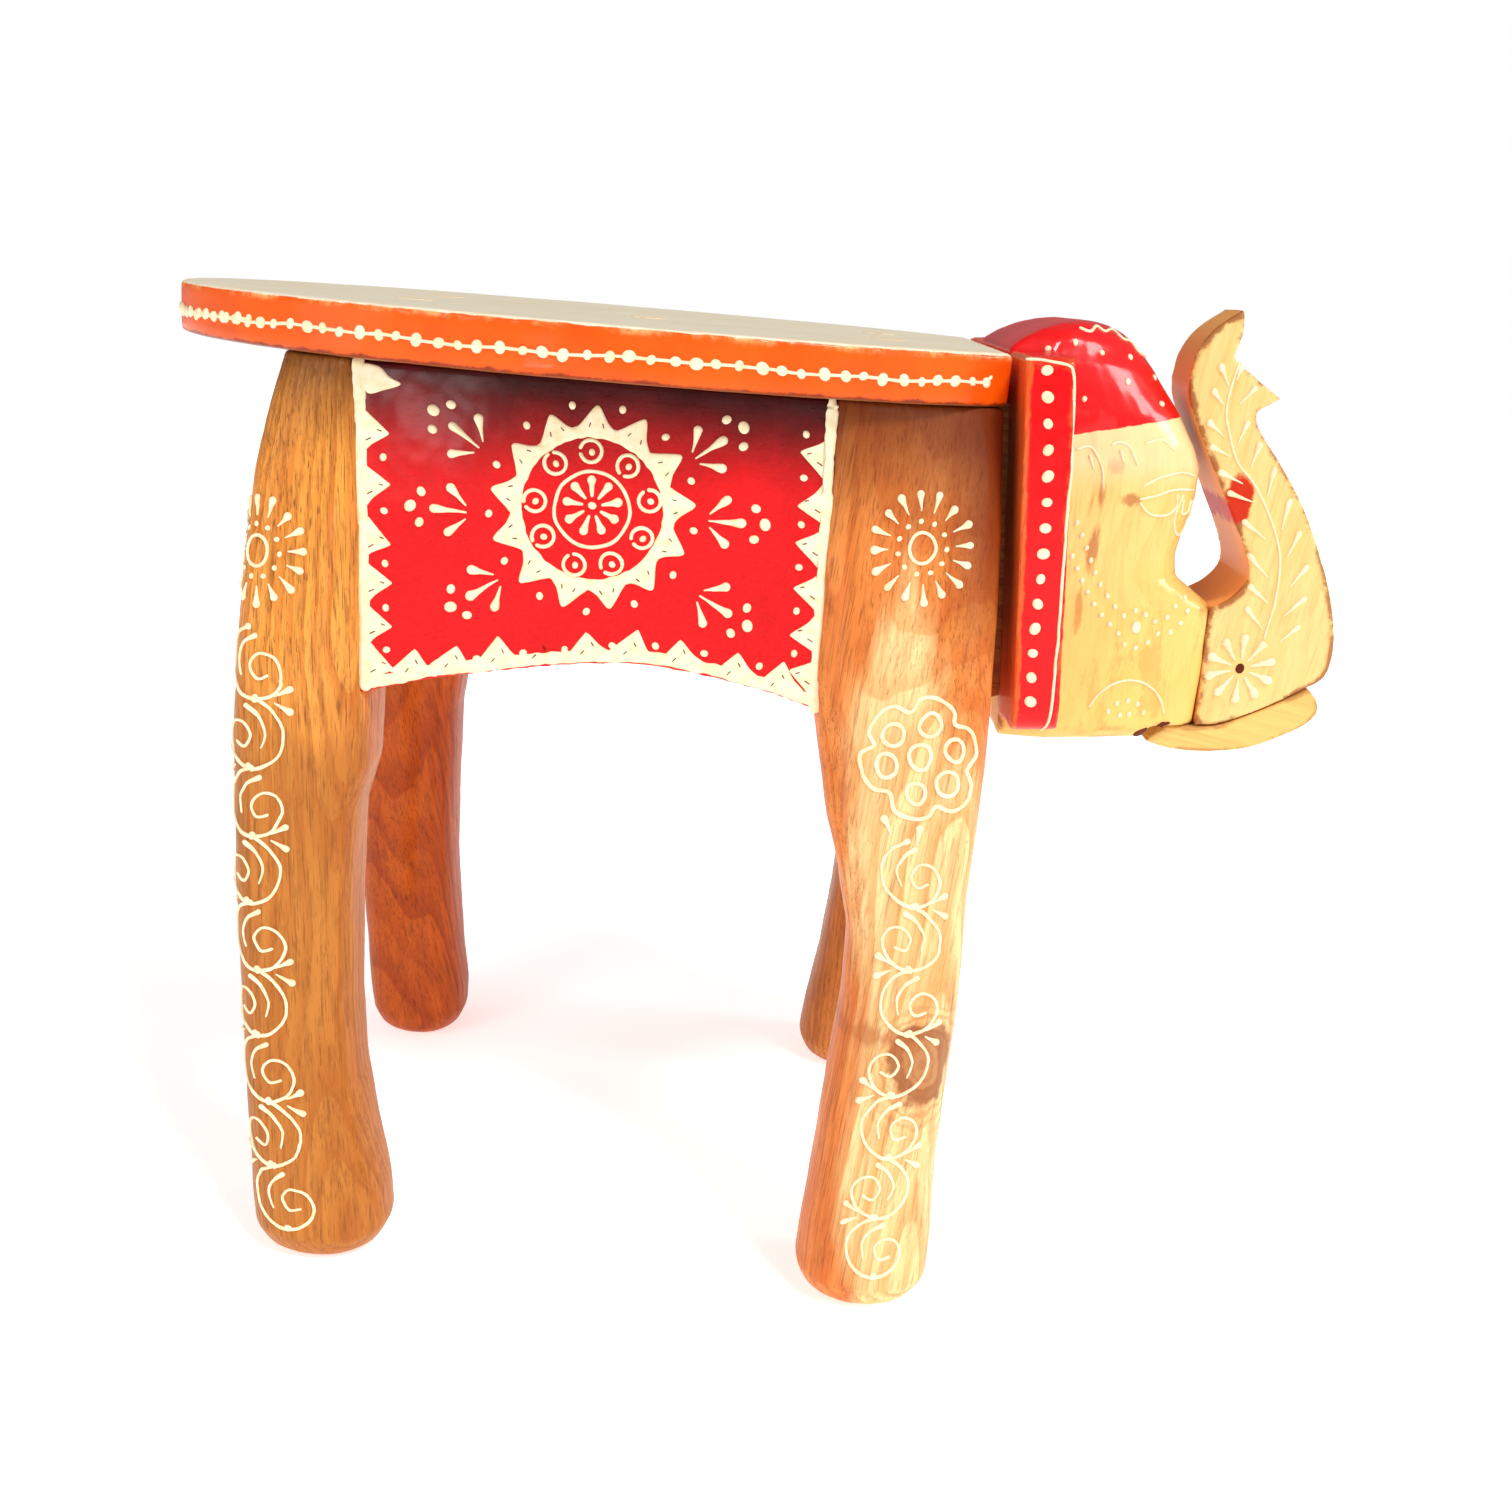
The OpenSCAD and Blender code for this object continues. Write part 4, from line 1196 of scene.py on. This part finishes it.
def trunk_pattern(pieces, side, materials):
    surface = Side(pieces["trunk"], side)
    relief, marks = Relief(surface), Relief(surface)
    relief.line(STEM, 0.8)
    for head, tail in REAR_LEAVES + FRONT_LEAVES:
        relief.drop(head, tail, 1.1, 0.3)
    for k in range(TRUNK_PETALS):
        angle = 90 + 360 * k / TRUNK_PETALS
        relief.drop(polar(*TRUNK_FLOWER, 10.6, angle), polar(*TRUNK_FLOWER, 3.6, angle), 1.5, 0.45)
    marks.dot(*TRUNK_FLOWER, 1.7, 0.4)
    relief.build("trunk_pattern_" + side, materials["cream"])
    marks.build("trunk_marks_" + side, materials["marks"], "pale_yellow_wood")


# ---- Legs ----

SUN_DOTS = 11
SUN_DROPS = 16
VINE_PITCH = 20.7
VINE_STEM_WIDTHS = [1.4, 1.05, 0.95, 1.05, 1.25, 1.15, 1.05, 0.95, 0.95, 1.0]
VINE_INNER_WIDTHS = [1.8, 1.1, 0.85, 0.6]


def sunburst(relief, u, v, squash=1.0):
    relief.ring(u, v, 4.5, 1.1, 0.92)
    for k in range(SUN_DOTS):
        relief.dot(*polar(u, v, 7.8, 97 + 360 * k / SUN_DOTS), 0.85)
    for k in range(SUN_DROPS):
        angle = 95 + 360 * k / SUN_DROPS
        far = (15.6 + 0.6 * math.sin(2.6 * k)) * squash
        relief.drop(polar(u, v, far, angle), polar(u, v, 10.8 * squash, angle), 1.25, 0.3)


def outline_flower(relief, u, v):
    turns = range(0, 360, 12)
    lobes = [13.6 + 5.3 * math.sqrt(abs(math.sin(math.radians(3 * (a - 107))))) for a in turns]
    relief.line([polar(u, v, r, a) for a, r in zip(turns, lobes)], 1.35, closed=True, shake=0.9)
    relief.ring(u, v + 0.6, 3.9, 1.3, 0.85, 0.8)
    for k in range(6):
        spot = polar(u, v, 10.9, 78 + 60 * k + 4 * math.sin(2.4 * k))
        relief.ring(*spot, 3.5 + 0.4 * math.sin(3.3 * k), 1.3, 0.9, 0.9)


VINE_STEM = [(-0.8, 20.7), (-5.4, 17.6), (-8.6, 12.4), (-7.8, 5.6), (-3.6, 1.0), (1.6, -0.2), (6.6, 2.2),
             (9.2, 7.4), (7.4, 12.4), (3.0, 13.4), (0.4, 9.9), (2.2, 6.2), (5.4, 7.2)]
VINE_INNER = [(1.8, 18.2), (-1.6, 15.8), (-3.8, 11.2), (-2.8, 6.4)]


def vine(relief, top, middle, pitch, count, scale=1.0):
    """Alternating spirals down a leg. `middle` gives the middle line's u for a height."""
    curl = 1
    for k in range(count):
        bottom = top - pitch * (k + 1)
        u = middle(bottom)
        grow = pitch / VINE_PITCH

        def spot(a, b, u=u, bottom=bottom, curl=curl):
            return (u + curl * a * scale, bottom + b * grow)

        relief.line([spot(*p) for p in VINE_STEM], widths=VINE_STEM_WIDTHS, shake=0.5)
        relief.line([spot(*p) for p in VINE_INNER], widths=VINE_INNER_WIDTHS, shake=0.4)
        relief.dot(*spot(-0.6, 20.6), 1.15)
        relief.dot(*spot(1.2, 0.2), 1.3)
        if k < count - 1:
            relief.drop(spot(10.6, 3.8), spot(6.6, 1.5), 1.15, 0.35)
            relief.drop(spot(10.8, -2.8), spot(6.6, -0.6), 1.15, 0.35)
        curl = -curl


def leg_pattern(pieces, side, materials):
    front = Relief(Wrap(pieces["leg_front_" + side], side))
    sunburst(front, 1.5, 247.5)
    outline_flower(front, 5.2, 185)
    front.drop((-6.1, 165.8), (-3.9, 161), 1.2)
    front.drop((4.7, 163.6), (3.6, 158.4), 1.2)
    vine(front, 159.4, lambda z: 1.4, VINE_PITCH, 7)
    front.build("leg_front_pattern_" + side, materials["cream"])
    rear = Relief(Wrap(pieces["leg_rear_" + side], side))
    sunburst(rear, -12.4, 230.6, squash=0.98)
    vine(rear, 208, lambda z: -13.0 + (186 - z) * 0.028, 21.7, 9, 1.15)
    rear.build("leg_rear_pattern_" + side, materials["cream"])


# ---- Build ----

FLOOR_HALF = 4.0
FLOOR_GLOW = 0.6


def add_floor():
    shader = Shader("pale_floor", roughness=0.8)
    shader.sockets["Emission Color"].default_value = (1, 1, 1, 1)
    shader.sockets["Emission Strength"].default_value = FLOOR_GLOW
    mesh = bpy.data.meshes.new("floor")
    corners = [(a * FLOOR_HALF, b * FLOOR_HALF, 0) for a, b in ((-1, -1), (1, -1), (1, 1), (-1, 1))]
    mesh.from_pydata(corners, [], [(0, 1, 2, 3)])
    colour = shader.mix(shader.noise(3.0), srgb(250, 250, 250), srgb(246, 246, 246))
    mesh.materials.append(shader.finish(colour))
    link(bpy.data.objects.new("floor", mesh))


add_camera()
add_lights()
add_world()
add_floor()
finishes = build_materials()
wood = add_pieces(finishes)
add_plugs(finishes["plug"])
rim_pattern(wood, finishes)
for hand in SIDES:
    for draw in (blanket_pattern, ear_pattern, head_pattern, trunk_pattern, leg_pattern):
        draw(wood, hand, finishes)
